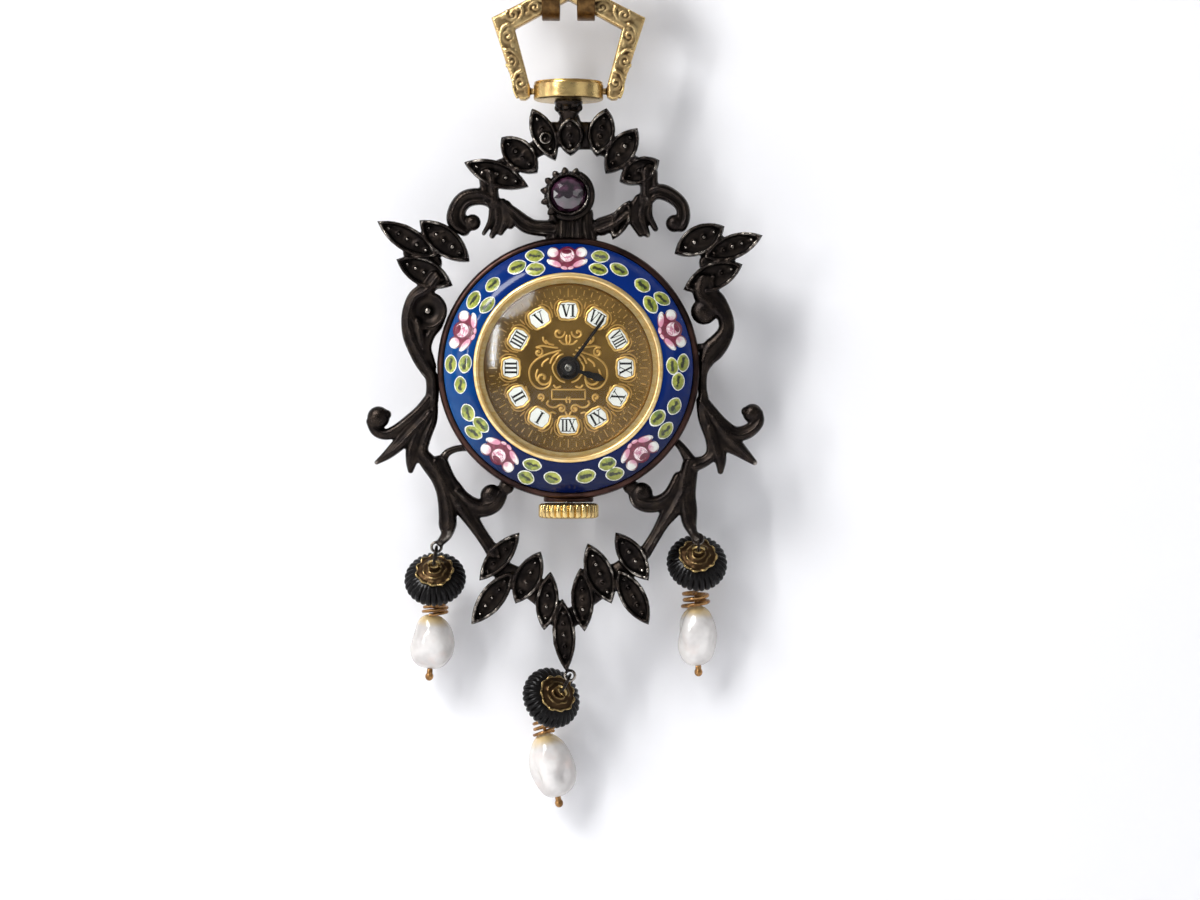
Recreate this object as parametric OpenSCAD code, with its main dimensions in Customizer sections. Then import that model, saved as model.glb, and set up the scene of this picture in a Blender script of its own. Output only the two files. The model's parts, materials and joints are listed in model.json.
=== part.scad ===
// Brooch watch: a small round watch in an openwork silver frame, hung from a link
// and a brooch bar, with three bead and pearl drops.
// The face_space() module holds the watch as one looks at it: x to the right, y up,
// z towards the viewer, with the middle of the dial at zero.

/* [Case] */
// Outer diameter of the case band
case_d = 26.2; // [25.4:0.1:27.4]
// Front edge of the case band, in front of the middle plane
band_front = 1.0; // [0.8:0.05:1.2]
// Back edge of the case band, behind the middle plane
band_back = 2.5; // [2.4:0.05:3]
// Wall of the case band
band_wall = 1.0; // [0.9:0.05:1.1]
// Depth of the case back behind the middle plane
back_depth = 4.6; // [4.2:0.1:5.2]
// Wall of the case back
back_wall = 0.6; // [0.4:0.05:0.8]
// Radius that the case back's slope takes off its flat
back_slope = 3.4; // [3:0.1:4]

/* [Front] */
// Width of the gold ring's front outside the dial's edge
gold_lap = 0.8; // [0.7:0.05:1]
// Height of the enamel at its outer edge
enamel_low = 1.3; // [1.2:0.05:1.5]
// Height of the enamel at its inner edge
enamel_high = 3.3; // [2.9:0.05:3.5]
// Width of the gold ring round the crystal
gold_ring_w = 0.55; // [0.45:0.05:0.7]
// Height of the gold ring
gold_ring_top = 3.5; // [3.4:0.05:3.9]
// Height of the crystal at its edge
crystal_edge = 3.2; // [3.1:0.05:3.4]
// Rise of the domed crystal
crystal_rise = 1.8; // [1.5:0.1:2.4]
// Wall of the crystal
crystal_wall = 0.5; // [0.4:0.05:0.6]
// Height of the dial's face
dial_top = 2.0; // [1.9:0.05:2.1]
// Thickness of the dial
dial_t = 0.4; // [0.3:0.05:0.45]

/* [Hands] */
// Length of the minute hand
minute_len = 6.0; // [5:0.1:7]
// Length of the hour hand
hour_len = 3.8; // [3:0.1:4.6]
// Thickness of a hand
hand_t = 0.15; // [0.1:0.01:0.16]
// Hands set to this many minutes past nine
minutes_past = 36; // [31:1:41]

/* [Movement] */
// Diameter of the main plate
plate_d = 17.2; // [17:0.1:17.4]
// Thickness of the main plate
plate_t = 0.7; // [0.6:0.05:0.75]
// Thickness of the train bridge
bridge_t = 0.4; // [0.3:0.05:0.5]
// Pitch diameter per tooth in the train
train_module = 0.1; // [0.095:0.001:0.101]
// Pitch diameter per tooth in the winding work
winding_module = 0.12; // [0.115:0.001:0.122]
// Diameter of the balance wheel
balance_d = 4.8; // [4.2:0.1:4.9]
// Thickness of a train wheel
wheel_t = 0.15; // [0.1:0.01:0.17]
// Diameter of a pivot
pivot_d = 0.24; // [0.2:0.01:0.28]

/* [Crown] */
// Diameter of the crown
crown_d = 6.0; // [5.4:0.1:6.6]
// Length of the crown
crown_len = 1.6; // [1.4:0.1:2]
// Grooves round the crown
crown_grooves = 26; // [20:1:30]
// Diameter of the winding stem
stem_d = 0.9; // [0.7:0.05:1]
// Diameter of the neck that the crown turns against
neck_d = 5.0; // [4.4:0.1:5.2]

/* [Frame] */
// Thickness of the cast frame
frame_t = 1.8; // [1.5:0.1:2.2]
// Height of the raised rims and ribs on it
relief_t = 0.4; // [0.3:0.05:0.5]
// Width of the raised rim round a leaf
leaf_rim = 0.35; // [0.3:0.05:0.45]
// Diameter of the violet stone
stone_d = 3.7; // [3.3:0.1:4]
// Diameter of its setting
collet_d = 5.2; // [5:0.1:5.8]
// Height of its setting
collet_h = 2.2; // [1.8:0.1:2.8]

/* [Collar and bail] */
// Diameter of the swivel collar
collar_d = 7.0; // [6.8:0.1:7.2]
// Thickness of the swivel collar
collar_t = 1.8; // [1.5:0.1:2]
// Diameter of the two pins that carry the collar
side_pin_d = 0.7; // [0.5:0.05:0.9]
// Diameter of the stem that the watch turns on
swivel_d = 1.2; // [1:0.1:1.6]
// Thickness of the bail, front to back
bail_t = 1.6; // [1.4:0.1:1.8]
// Width of the bail's bars
bar_w = 1.87; // [1.7:0.05:2]
// Half width of the bail at its shoulders
shoulder_half = 7.7; // [7.2:0.1:8.4]
// Half width of the bail at its feet
foot_half = 5.2; // [5.1:0.1:5.6]
// Height of the shoulders over the feet
arm_rise = 7.3; // [6.5:0.1:9]
// Height of the peak over the shoulders
roof_rise = 3.9; // [3.6:0.1:4.4]

/* [Brooch] */
// Width of the brooch bar
brooch_w = 18; // [16:0.5:24]
// Height of the brooch bar
brooch_h = 5.4; // [5:0.1:7]
// Thickness of the brooch bar
brooch_t = 1.0; // [0.8:0.1:1.4]
// Width of a strap
strap_w = 1.8; // [1.4:0.1:2.1]
// Thickness of a strap
strap_t = 0.4; // [0.3:0.05:0.5]
// Distance between the straps
strap_gap = 3.5; // [3.2:0.1:3.9]
// Diameter of the brooch pin
pin_d = 0.8; // [0.6:0.05:1]
// Gap for cloth between the bar and the pin
cloth_gap = 1.6; // [1.2:0.1:2.4]

/* [Drops] */
// Diameter of a fluted bead
bead_d = 6.4; // [5.6:0.1:6.6]
// Height of a fluted bead
bead_h = 3.0; // [2.6:0.1:3.2]
// Diameter of a bead's gold cap
cap_d = 3.8; // [3.2:0.1:4.4]
// Diameter of the drops' wire
wire_d = 0.3; // [0.24:0.01:0.32]
// Diameter of the pearls on the left, in the middle and on the right
pearl_d = [4.6, 4.9, 4.5];
// Length of the pearls on the left, in the middle and on the right
pearl_len = [6.2, 7.0, 6.5];

/* [Hidden] */
$fn = 64;

// Clearances that mating pieces share
slip = 0.04;
running = 0.02;
play = 0.1;
over = 0.1;

// Case and front, by radius from the middle of the dial
case_r = case_d / 2;
rim_w = 1.0;
enamel_r = case_r - rim_w;
dial_r = plate_d / 2;
gold_r = dial_r + gold_lap;
enamel_w = enamel_r - gold_r;
crystal_r = gold_r - gold_ring_w - slip;
seat_r = crystal_r - 0.4;
seat_z = dial_top + 0.55;
band_in = case_r - band_wall;
back_lip_r = band_in - slip;
back_flat_r = case_r - back_slope;
dome_r = (pow(crystal_r, 2) + pow(crystal_rise, 2)) / (2 * crystal_rise);
dome_z = crystal_edge + crystal_rise - dome_r;

// Movement levels, from the dial down to the case back
motion_gap = 0.6;
plate_top = dial_top - dial_t - motion_gap;
plate_low = plate_top - plate_t;
bridge_top = -1.5;
bridge_low = bridge_top - bridge_t;
plate_r = plate_d / 2;
ring_bore = plate_r + slip;
rim_in = plate_r - 0.6;
pivot_r = pivot_d / 2;

// Train: teeth, places and levels
centre_teeth = 64;
centre_leaves = 10;
barrel_teeth = 72;
third_teeth = 60;
third_leaves = 8;
fourth_teeth = 60;
fourth_leaves = 8;
escape_leaves = 6;
escape_teeth = 15;
fourth_module = 0.8 * train_module;
function spot(from, angle, reach) = from + reach * [cos(angle), sin(angle)];
function gap_of(a, b, m) = m * (a + b) / 2;
barrel_at = spot([0, 0], 225, gap_of(centre_leaves, barrel_teeth, train_module));
third_at = spot([0, 0], 100, gap_of(centre_teeth, third_leaves, train_module));
fourth_at = spot(third_at, -20, gap_of(third_teeth, fourth_leaves, train_module));
escape_at = spot(fourth_at, -50, gap_of(fourth_teeth, escape_leaves, fourth_module));
escape_r = 1.2;
pallet_at = spot(escape_at, -80, 1.85);
balance_at = spot(pallet_at, -110, 2.65);
staff_end = 0.2;
centre_z = plate_low - 0.35;
third_z = centre_z - 0.35;
fourth_z = third_z - 0.35;
escape_z = third_z - 0.05;
barrel_z = [third_z - 0.75, third_z + 0.18];
balance_z = fourth_z - 0.3;
spring_z = balance_z - 0.2;
cock_low = bridge_low - 0.1;

// Winding work
ratchet_teeth = 36;
crown_wheel_teeth = 24;
pinion_teeth = 12;
winding_gap = gap_of(ratchet_teeth, crown_wheel_teeth, winding_module);
crown_wheel_at = [0, barrel_at[1] - sqrt(pow(winding_gap, 2) - pow(barrel_at[0], 2))];
wind_angle = atan2(crown_wheel_at[1] - barrel_at[1], crown_wheel_at[0] - barrel_at[0]);
crown_wheel_r = winding_module * crown_wheel_teeth / 2;
ratchet_r = winding_module * ratchet_teeth / 2;
wind_low = bridge_low - 0.05;
wind_t = 0.25;
crown_z = -0.7;
pinion_r = crown_z - bridge_low - running;
pinion_from = crown_wheel_at[1] - crown_wheel_r + 0.15;
pinion_len = 0.85;
stem_r = stem_d / 2;
tube_r = stem_r + 0.35;
neck_end = case_r + 0.25;
crown_from = neck_end + play;
crown_r = crown_d / 2;

// Motion work
cannon_teeth = 12;
minute_wheel_teeth = 36;
minute_leaves = 8;
hour_teeth = 32;
motion_dist = gap_of(cannon_teeth, minute_wheel_teeth, train_module);
hour_module = 2 * motion_dist / (minute_leaves + hour_teeth);
cannon_r = 0.35;
hour_tube_r = cannon_r + running + 0.2;
hour_hand_z = dial_top + 0.22;
minute_hand_z = hour_hand_z + hand_t + 0.18;
minute_angle = 90 - 6 * (minutes_past - 30);
hour_angle = 90 - 30 * (9 + minutes_past / 60 - 6);

// Frame: its curves are drawn round a case of this radius and move out or in with it
drawn_r = 13.1;
function norm2(p) = sqrt(p[0] * p[0] + p[1] * p[1]);
function moved(p) = [for (i = [0:1]) p[i] * (1 + (case_r - drawn_r) / norm2(p))];
relief_low = frame_t / 2 - relief_t;

// Leaves: tip, other tip and width
crest_leaves = [[[0.2, 25.2], [0.2, 21.3], 2.2], [[-3.65, 26.0], [-1.3, 20.8], 2.1],
    [[-6.7, 23.1], [-3.1, 19.6], 2.6], [[-10.45, 20.6], [-4.0, 18.2], 2.2],
    [[3.8, 26.0], [2.8, 21.2], 2.3], [[6.9, 24.0], [3.7, 19.5], 2.4],
    [[9.1, 20.8], [5.1, 18.7], 2.2]];
side_leaves = [[[-19.1, 14.7], [-13.0, 11.1], 2.1], [[-14.9, 14.8], [-9.9, 10.7], 2.5],
    [[-17.2, 10.9], [-11.6, 8.3], 2.4], [[19.4, 13.3], [13.4, 11.0], 2.1],
    [[15.6, 14.2], [10.6, 11.5], 2.5], [[17.4, 10.4], [11.5, 7.9], 2.4]];
low_leaves = [[[-4.9, -16.4], [-8.9, -21.2], 2.0], [[-9.7, -25.6], [-5.5, -20.2], 2.1],
    [[-2.8, -18.3], [-5.3, -23.5], 2.3], [[-1.8, -20.3], [-2.45, -26.2], 2.0],
    [[-0.65, -23.0], [-0.2, -30.3], 2.0], [[1.2, -19.9], [1.6, -26.3], 2.0],
    [[1.9, -17.5], [4.3, -23.5], 2.4], [[8.0, -25.6], [4.9, -20.0], 2.2],
    [[4.7, -16.4], [8.0, -21.2], 2.2]];
plain_leaves = [[[6.1, 16.8], [4.4, 12.9], 1.5]];

// Scrolls, stems and fingers: points with a width
top_left = [[[-8.1, 19.2, 1.8], [-7.8, 17.0, 1.8]],
    [[-7.2, 16.4, 1.2], [-8.05, 16.95, 1.5], [-9.05, 17.2, 1.7], [-10.25, 16.95, 1.8],
        [-11.05, 16.05, 1.8], [-11.2, 14.8, 2.0], [-10.5, 13.95, 1.4]],
    [[-7.6, 16.5, 0.7], [-7.8, 14.8, 0.6], [-8.5, 13.5, 0.4]],
    [[-7.2, 16.6, 0.9], [-7.0, 14.8, 0.9], [-7.65, 13.3, 0.6]],
    [[-6.6, 16.6, 0.9], [-6.2, 15.0, 1.0], [-6.8, 13.6, 0.6]],
    [[-6.2, 16.4, 0.9], [-5.5, 15.2, 1.1], [-5.8, 14.3, 0.7]],
    [[-6.6, 16.4, 1.0], [-5.4, 15.4, 1.4], [-4.4, 14.5, 1.7], [-3.4, 14.1, 1.6], [-1.8, 14.0, 1.7]]];
top_right = [[[8.05, 19.6, 1.8], [8.05, 17.4, 1.8]],
    [[7.6, 16.7, 1.2], [8.2, 17.4, 1.4], [9.2, 17.7, 1.6], [10.4, 17.2, 1.5],
        [11.3, 16.3, 1.4], [11.5, 15.2, 1.4], [11.2, 14.4, 1.5]],
    [[7.0, 17.0, 0.9], [6.4, 15.3, 1.1], [7.2, 13.5, 0.7]],
    [[7.7, 17.2, 0.8], [7.3, 15.3, 0.9], [7.9, 13.4, 0.6]],
    [[8.1, 17.0, 0.7], [8.1, 15.3, 0.7], [8.7, 14.0, 0.6]],
    [[6.6, 16.4, 1.0], [4.8, 14.9, 1.6], [3.3, 14.2, 1.9]]];
left_side = [[[-13.9, 9.2, 1.8], [-13.9, 7.6, 1.9], [-14.3, 6.6, 3.6], [-14.4, 5.6, 4.5],
        [-14.8, 4.6, 4.0], [-15.2, 3.7, 3.2], [-15.1, 2.6, 2.9], [-14.8, 1.4, 2.3],
        [-14.2, 0.3, 1.7], [-13.7, -0.8, 1.3], [-13.6, -2.1, 1.3], [-13.7, -3.2, 1.4]],
    [[-13.85, -3.1, 1.3], [-14.85, -4.25, 1.2], [-16.05, -5.35, 1.3], [-17.25, -6.25, 1.3],
        [-18.35, -6.6, 1.1], [-19.3, -6.25, 1.0], [-19.8, -5.3, 0.9]],
    [[-14.0, -4.4, 1.2], [-15.5, -6.0, 1.6], [-16.9, -7.5, 1.4], [-18.1, -8.6, 1.0],
        [-19.2, -9.4, 0.45]],
    [[-13.8, -4.7, 1.4], [-14.8, -6.4, 1.6], [-15.4, -8.0, 1.7], [-15.7, -9.3, 1.2],
        [-15.8, -10.2, 0.6]],
    [[-13.5, -3.4, 0.9], [-13.7, -5.1, 1.2], [-14.4, -6.8, 1.4], [-14.7, -8.3, 1.4],
        [-14.0, -9.4, 1.7], [-12.9, -10.8, 1.9], [-12.3, -12.2, 1.9]]];
right_side = [[[13.6, 8.4, 2.2], [13.6, 7.4, 2.3], [14.6, 6.6, 2.4], [15.5, 5.5, 1.7],
        [15.8, 4.5, 1.6], [15.7, 3.6, 1.7], [15.1, 2.6, 2.1], [14.3, 1.7, 2.3],
        [13.75, 0.7, 1.6], [13.45, -0.4, 1.0], [13.4, -1.8, 0.9], [13.5, -3.1, 1.1]],
    [[13.7, 2.1, 0.9], [12.9, 2.1, 0.8]],
    [[13.4, -3.2, 1.2], [14.4, -4.5, 1.3], [15.4, -5.7, 1.5], [16.6, -6.5, 1.5],
        [17.9, -6.3, 1.5], [18.9, -5.4, 1.3], [18.95, -4.5, 1.1]],
    [[14.6, -5.4, 2.0], [15.9, -7.1, 2.2], [17.3, -8.3, 1.4], [18.6, -9.4, 0.6]],
    [[14.4, -6.1, 1.8], [14.9, -7.8, 1.7], [15.2, -9.2, 1.2], [15.2, -10.3, 0.6]],
    [[13.2, -3.2, 0.9], [13.6, -5.0, 1.3], [14.3, -7.0, 1.3], [14.4, -8.4, 1.3],
        [13.7, -9.2, 1.2], [12.6, -9.6, 1.5]]];
low_left = [[[-12.9, -9.6, 1.9], [-12.2, -11.2, 1.9], [-11.3, -12.5, 2.0], [-10.4, -13.9, 2.0],
        [-9.5, -15.4, 1.5], [-8.5, -16.9, 1.3], [-7.5, -18.4, 1.4]],
    [[-13.3, -10.1, 1.3], [-12.7, -11.7, 1.4], [-12.3, -13.2, 1.6], [-12.1, -14.7, 1.8],
        [-12.1, -15.7, 1.8], [-12.2, -16.6, 1.2], [-12.8, -17.4, 0.8]],
    [[-12.7, -9.4, 1.0], [-12.2, -8.5, 0.8], [-11.3, -8.05, 0.7], [-10.0, -7.9, 0.7]],
    [[-11.1, -12.6, 1.6], [-9.9, -13.6, 1.8], [-8.6, -14.0, 1.8], [-7.4, -13.6, 1.6],
        [-6.8, -12.7, 1.4]]];
low_right = [[[12.2, -9.6, 1.7], [11.9, -11.2, 1.9], [11.8, -12.7, 1.9], [12.0, -14.2, 1.8],
        [12.1, -15.4, 1.5], [12.4, -16.3, 1.0], [12.8, -17.0, 0.8]],
    [[11.4, -12.0, 2.0], [10.4, -13.9, 2.0], [9.5, -15.3, 1.4], [8.7, -16.7, 1.2],
        [7.6, -18.5, 1.3]],
    [[11.0, -10.9, 1.2], [10.2, -12.5, 1.3], [9.2, -13.4, 1.6], [8.0, -13.6, 1.7],
        [7.0, -13.3, 1.5], [6.6, -12.6, 1.3]],
    [[10.6, -7.1, 0.7], [11.4, -8.0, 0.9], [12.2, -9.3, 1.3]]];
crest_webs = [[[-1.9, 23.5, 2.2], [0, 23.4, 2.4]], [[0.6, 23.3, 2.6], [2.8, 23.3, 2.6]],
    [[-3.8, 22.0, 1.2], [-2.2, 22.5, 1.2]], [[-6.4, 20.4, 1.0], [-4.6, 20.8, 1.0]],
    [[3.4, 22.2, 1.4], [4.8, 22.2, 1.4]], [[5.4, 20.9, 1.2], [7.1, 20.3, 1.2]],
    [[0.15, 23.6, 2.4], [0.1, 24.8, 2.2]]];
low_webs = [[[-15.8, 11.6, 1.3], [-13.6, 10.6, 1.6]], [[-15.0, 12.6, 1.2], [-12.8, 13.4, 1.2]],
    [[14.0, 10.6, 1.6], [16.0, 10.9, 1.2]], [[13.0, 12.4, 1.2], [15.2, 12.6, 1.2]],
    [[-7.0, -20.0, 1.6], [-4.2, -21.3, 1.8]], [[-4.2, -21.6, 1.8], [-2.2, -23.2, 1.8]],
    [[-2.2, -24.2, 1.6], [-0.4, -25.4, 1.6]], [[-0.4, -25.4, 1.6], [1.4, -24.2, 1.6]],
    [[1.4, -23.2, 1.8], [3.6, -21.6, 1.8]], [[3.6, -21.2, 1.8], [6.4, -19.6, 1.7]]];
// Round knobs: middle and radius
crest_knobs = [[[-9.6, 14.6], 0.85], [[10.6, 14.5], 0.9]];
low_knobs = [[[13.55, 5.7], 1.35], [[14.45, 6.1], 0.9], [[-19.0, -4.9], 1.15], [[-18.2, -4.6], 0.5],
    [[18.4, -4.5], 1.0], [[17.75, -4.3], 0.5], [[-7.7, -12.7], 1.15], [[-6.2, -11.8], 0.8],
    [[7.3, -12.5], 1.15], [[6.2, -11.8], 0.8]];

// Stem, collar and bail heights over the middle of the dial
stone_y = case_r + 4.15;
crest_y = case_r + 12.1;
stem_top = crest_y + 1.6;
collar_y = stem_top + collar_t / 2;
side_pin_y = collar_y;
side_pin_r = side_pin_d / 2;
swivel_r = swivel_d / 2;
foot_r = 0.5;
foot_y = side_pin_y - 0.9;
shoulder_y = foot_y + arm_rise + 0.9;
peak_y = shoulder_y + roof_rise;
roof_slope = roof_rise / shoulder_half;
bar_drop = bar_w * sqrt(1 + roof_slope * roof_slope);
strap_x = strap_gap / 2;
bail_y = peak_y - roof_slope * strap_x - bar_drop / 2;
strap_bore = norm2([roof_slope * strap_w / 2 + bar_drop / 2, bail_t / 2]) + play;
strap_r = strap_bore + strap_t;
plate_base = bail_y + norm2([peak_y - bail_y, bail_t / 2]) + play;
plate_mid = plate_base + brooch_h / 2;

// Brooch pin
pin_r = pin_d / 2;
pin_y = plate_mid + 0.6;
pin_z = -max(brooch_t / 2 + cloth_gap, strap_r + play) - pin_r;
hinge_x = -brooch_w / 2 + 2.4;
catch_x = brooch_w / 2 - 2.6;
pin_end = 1.2;
pin_point = 1.4;
rivet_r = 0.3;
knuckle_t = pin_d + 0.2;
eye_r = 0.8;

// Drops: the hole in the frame, then how each piece hangs from the one above
link_r = [0.9, 0.93, 0.6];
eye_at = [moved([-13.2, -17.85]), moved([0.15, -30.7]), moved([12.95, -17.05])];
link_lean = [[15, -9], [20, -27], [25, 4]];
under_turn = [0, 70, 0];
pearl_turn = [0, 30, 0];
bead_lean = [[53, 0], [57, -51], [58, -4]];
pearl_lean = [-5, 11, 2];
neck_len = [1.7, 2.7, 2.8];
coil_h = [0.8, 1.3, 1.3];
eye_bore = 0.36;
eye_wall = 0.27;
eye_t = 0.45;
wire_r = wire_d / 2;
loop_r = 0.55;
loop_drop = 0.02;
cap_h = 0.45;
bead_mid = loop_drop + loop_r + wire_r + cap_h + bead_h / 2;
under_loop = bead_h / 2 + 0.2 + loop_r;
bore_r = 0.35;
function lean(v, tilt, swing) = let (y = v[1] * cos(tilt) - v[2] * sin(tilt),
    z = v[1] * sin(tilt) + v[2] * cos(tilt))
    [v[0] * cos(swing) - y * sin(swing), v[0] * sin(swing) + y * cos(swing), z];
function eye_point(i) = [eye_at[i][0], eye_at[i][1], 0];
function bead_point(i) = eye_point(i) + lean([0, -2 * link_r[i], 0], link_lean[i][0], link_lean[i][1]);
function pearl_point(i) = bead_point(i)
    + lean([0, -bead_mid - under_loop - loop_r + loop_drop, 0], bead_lean[i][0], bead_lean[i][1]);

// Curves through hand-set points
function blend4(a, b, c, d, t) = 0.5 * (2 * b + (c - a) * t + (2 * a - 5 * b + 4 * c - d) * t * t
    + (3 * b - a - 3 * c + d) * t * t * t);
function smooth(p, k) = let (n = len(p) - 1) concat([for (i = [0:n - 1], j = [0:k - 1])
    blend4(p[max(i - 1, 0)], p[i], p[i + 1], p[min(i + 2, n)], j / k)], [p[n]]);
function side(p, i) = let (n = len(p) - 1, a = p[max(i - 1, 0)], b = p[min(i + 1, n)],
    d = [b[0] - a[0], b[1] - a[1]]) [-d[1], d[0]] / norm2(d);
function placed(p) = [for (q = p) let (m = moved(q)) [m[0], m[1], q[2]]];

// The watch as one looks at it, set in the part's own frame
module face_space() {
    translate([0, pin_z, -pin_y]) rotate([90, 0, 0]) children();
}

module ring(r_out, r_in, z0, z1) {
    translate([0, 0, z0]) difference() {
        cylinder(r = r_out, h = z1 - z0);
        translate([0, 0, -over]) cylinder(r = r_in, h = z1 - z0 + 2 * over);
    }
}

module disc(at, r, z0, z1) {
    translate([at[0], at[1], z0]) cylinder(r = r, h = z1 - z0);
}

module torus(big, small) {
    rotate_extrude() translate([big, 0]) circle(r = small, $fn = 24);
}

// One bar of changing width through its points, with round ends
module bar_2d(points) {
    p = smooth(placed(points), 3);
    n = len(p) - 1;
    left = [for (i = [0:n]) [p[i][0], p[i][1]] + side(p, i) * p[i][2] / 2];
    right = [for (i = [n:-1:0]) [p[i][0], p[i][1]] - side(p, i) * p[i][2] / 2];
    polygon(concat(left, right));
    for (e = [p[0], p[n]]) translate([e[0], e[1]]) circle(d = e[2], $fn = 16);
}

// A pointed leaf between two tips, drawn as the overlap of two discs
module leaf_2d(leaf) {
    a = moved(leaf[0]);
    b = moved(leaf[1]);
    l = norm2(b - a) / 2;
    h = leaf[2] / 2;
    r = (l * l + h * h) / (2 * h);
    translate((a + b) / 2) rotate(atan2(b[1] - a[1], b[0] - a[0])) intersection() {
        translate([0, r - h]) circle(r = r, $fn = 60);
        translate([0, h - r]) circle(r = r, $fn = 60);
    }
}

module crest_2d() {
    for (leaf = concat(crest_leaves, plain_leaves)) leaf_2d(leaf);
    for (stroke = concat(top_left, top_right, crest_webs)) bar_2d(stroke);
    for (k = crest_knobs) translate(moved(k[0])) circle(r = k[1], $fn = 24);
    translate([-2.2, case_r - 0.6]) square([5.0, 2.9]);
}

module wreath_2d() {
    for (leaf = concat(side_leaves, low_leaves)) leaf_2d(leaf);
    for (stroke = concat(left_side, right_side, low_left, low_right, low_webs)) bar_2d(stroke);
    for (k = low_knobs) translate(moved(k[0])) circle(r = k[1], $fn = 24);
    for (e = eye_at) translate(e) circle(r = eye_bore + eye_wall, $fn = 24);
}

// A leaf's sunk face, inside its raised rim
module leaf_face(leaf) {
    a = moved(leaf[0]);
    b = moved(leaf[1]);
    u = (b - a) / norm2(b - a);
    translate([0, 0, relief_low]) linear_extrude(frame_t)
        leaf_2d([a + 3 * leaf_rim * u, b - 3 * leaf_rim * u, leaf[2] - 2 * leaf_rim]);
}

module frame_crest() color("#37332f") face_space() difference() {
    translate([0, 0, -frame_t / 2]) linear_extrude(frame_t) offset(delta = 0) crest_2d();
    for (leaf = crest_leaves) leaf_face(leaf);
    translate([0, 0, -frame_t]) cylinder(r = case_r, h = 2 * frame_t, $fn = 128);
    disc([0, stone_y], collet_d / 2 - 0.6, relief_low - 0.3, frame_t);
    disc([0, stone_y], collet_d / 2 + play, relief_low, frame_t);
    translate([0, crest_y - 1.2, 0]) rotate([-90, 0, 0]) cylinder(r = foot_r, h = 4);
    translate([0, crest_y + 0.1, 0]) rotate([-90, 0, 0]) cylinder(r = 2.2, h = 3);
}

module frame_wreath() color("#37332f") face_space() difference() {
    translate([0, 0, -frame_t / 2]) linear_extrude(frame_t) offset(delta = 0) wreath_2d();
    for (leaf = concat(side_leaves, low_leaves)) leaf_face(leaf);
    translate([0, 0, -frame_t]) cylinder(r = case_r, h = 2 * frame_t, $fn = 128);
    for (e = eye_at) {
        disc(e, eye_bore, -frame_t, frame_t);
        disc(e, eye_bore + eye_wall + 0.02, eye_t / 2, frame_t);
        disc(e, eye_bore + eye_wall + 0.02, -frame_t, -eye_t / 2);
    }
}

module swivel_stem() color("#3b3733") face_space() rotate([-90, 0, 0]) {
    translate([0, 0, crest_y - 1.2]) cylinder(r = foot_r, h = 1.4);
    translate([0, 0, crest_y + 0.1]) cylinder(r1 = 0.9, r2 = 1.45, h = stem_top - crest_y - 0.3);
    translate([0, 0, stem_top - 0.2]) cylinder(r = 1.45, h = 0.2 - running);
    translate([0, 0, stem_top - over]) cylinder(r = swivel_r, h = collar_t + over + 0.1);
    translate([0, 0, stem_top + collar_t + running]) cylinder(r = swivel_r + 0.35, h = 0.25);
}

module swivel_collar() color("#c79c4b") face_space() difference() {
    translate([0, stem_top, 0]) rotate([-90, 0, 0]) rotate_extrude()
        polygon([[swivel_r + running, 0], [collar_d / 2 - 0.15, 0], [collar_d / 2, 0.15],
            [collar_d / 2, collar_t - 0.15], [collar_d / 2 - 0.15, collar_t],
            [swivel_r + running, collar_t]]);
    for (s = [-1, 1]) translate([s * collar_d / 2, side_pin_y, 0]) rotate([0, 90, 0])
        cylinder(r = side_pin_r + running, h = 1.6, center = true);
}

module bail_pins() color("#4a443c") face_space() for (s = [-1, 1])
    translate([s * (collar_d / 2 - 0.7), side_pin_y, 0]) rotate([0, s * 90, 0])
        cylinder(r = side_pin_r, h = foot_half - collar_d / 2 + 0.7);

module bail() color("#b98d45") face_space() difference() {
    slope = (shoulder_half - foot_half) / (shoulder_y - side_pin_y);
    across = bar_w * sqrt(1 + slope * slope);
    inner_x = shoulder_half - across;
    inner_y = peak_y - roof_slope * inner_x - bar_drop;
    half = [[0, peak_y], [shoulder_half, shoulder_y], [foot_half, side_pin_y - 0.2],
        [foot_half - 0.5, foot_y], [collar_d / 2 + 0.35, foot_y + 0.3],
        [collar_d / 2 + 0.35, side_pin_y + 0.5], [inner_x - slope * (shoulder_y - inner_y), inner_y],
        [0, peak_y - bar_drop]];
    translate([0, 0, -bail_t / 2]) linear_extrude(bail_t)
        polygon(concat(half, [for (i = [len(half) - 2:-1:1]) [-half[i][0], half[i][1]]]));
    for (s = [-1, 1]) translate([s * collar_d / 2, side_pin_y, 0]) rotate([0, s * 90, 0])
        cylinder(r = side_pin_r, h = foot_half - collar_d / 2 + 1);
}

module straps() color("#c39a4e") face_space() for (x = [-strap_x, strap_x]) {
    translate([x - strap_w / 2, bail_y, 0]) rotate([0, 90, 0]) ring(strap_r, strap_bore, 0, strap_w);
    translate([x - strap_w / 2, bail_y + strap_bore + 0.05, -brooch_t / 2 - strap_t])
        cube([strap_w, plate_mid - bail_y - strap_bore, strap_t]);
}

module brooch_bar() color("#b98d45") face_space() translate([0, plate_mid, -brooch_t / 2]) {
    linear_extrude(brooch_t) for (s = [-1, 1]) {
        translate([s * (brooch_w / 2 - brooch_h / 3), 0]) circle(r = brooch_h / 3);
        translate([s * brooch_w / 4.5, 0]) circle(r = brooch_h / 2.25);
        circle(r = brooch_h / 2);
        translate([s < 0 ? -brooch_w / 2 + brooch_h / 3 : 0, -brooch_h / 4])
            square([brooch_w / 2 - brooch_h / 3, brooch_h / 2]);
    }
}

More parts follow.
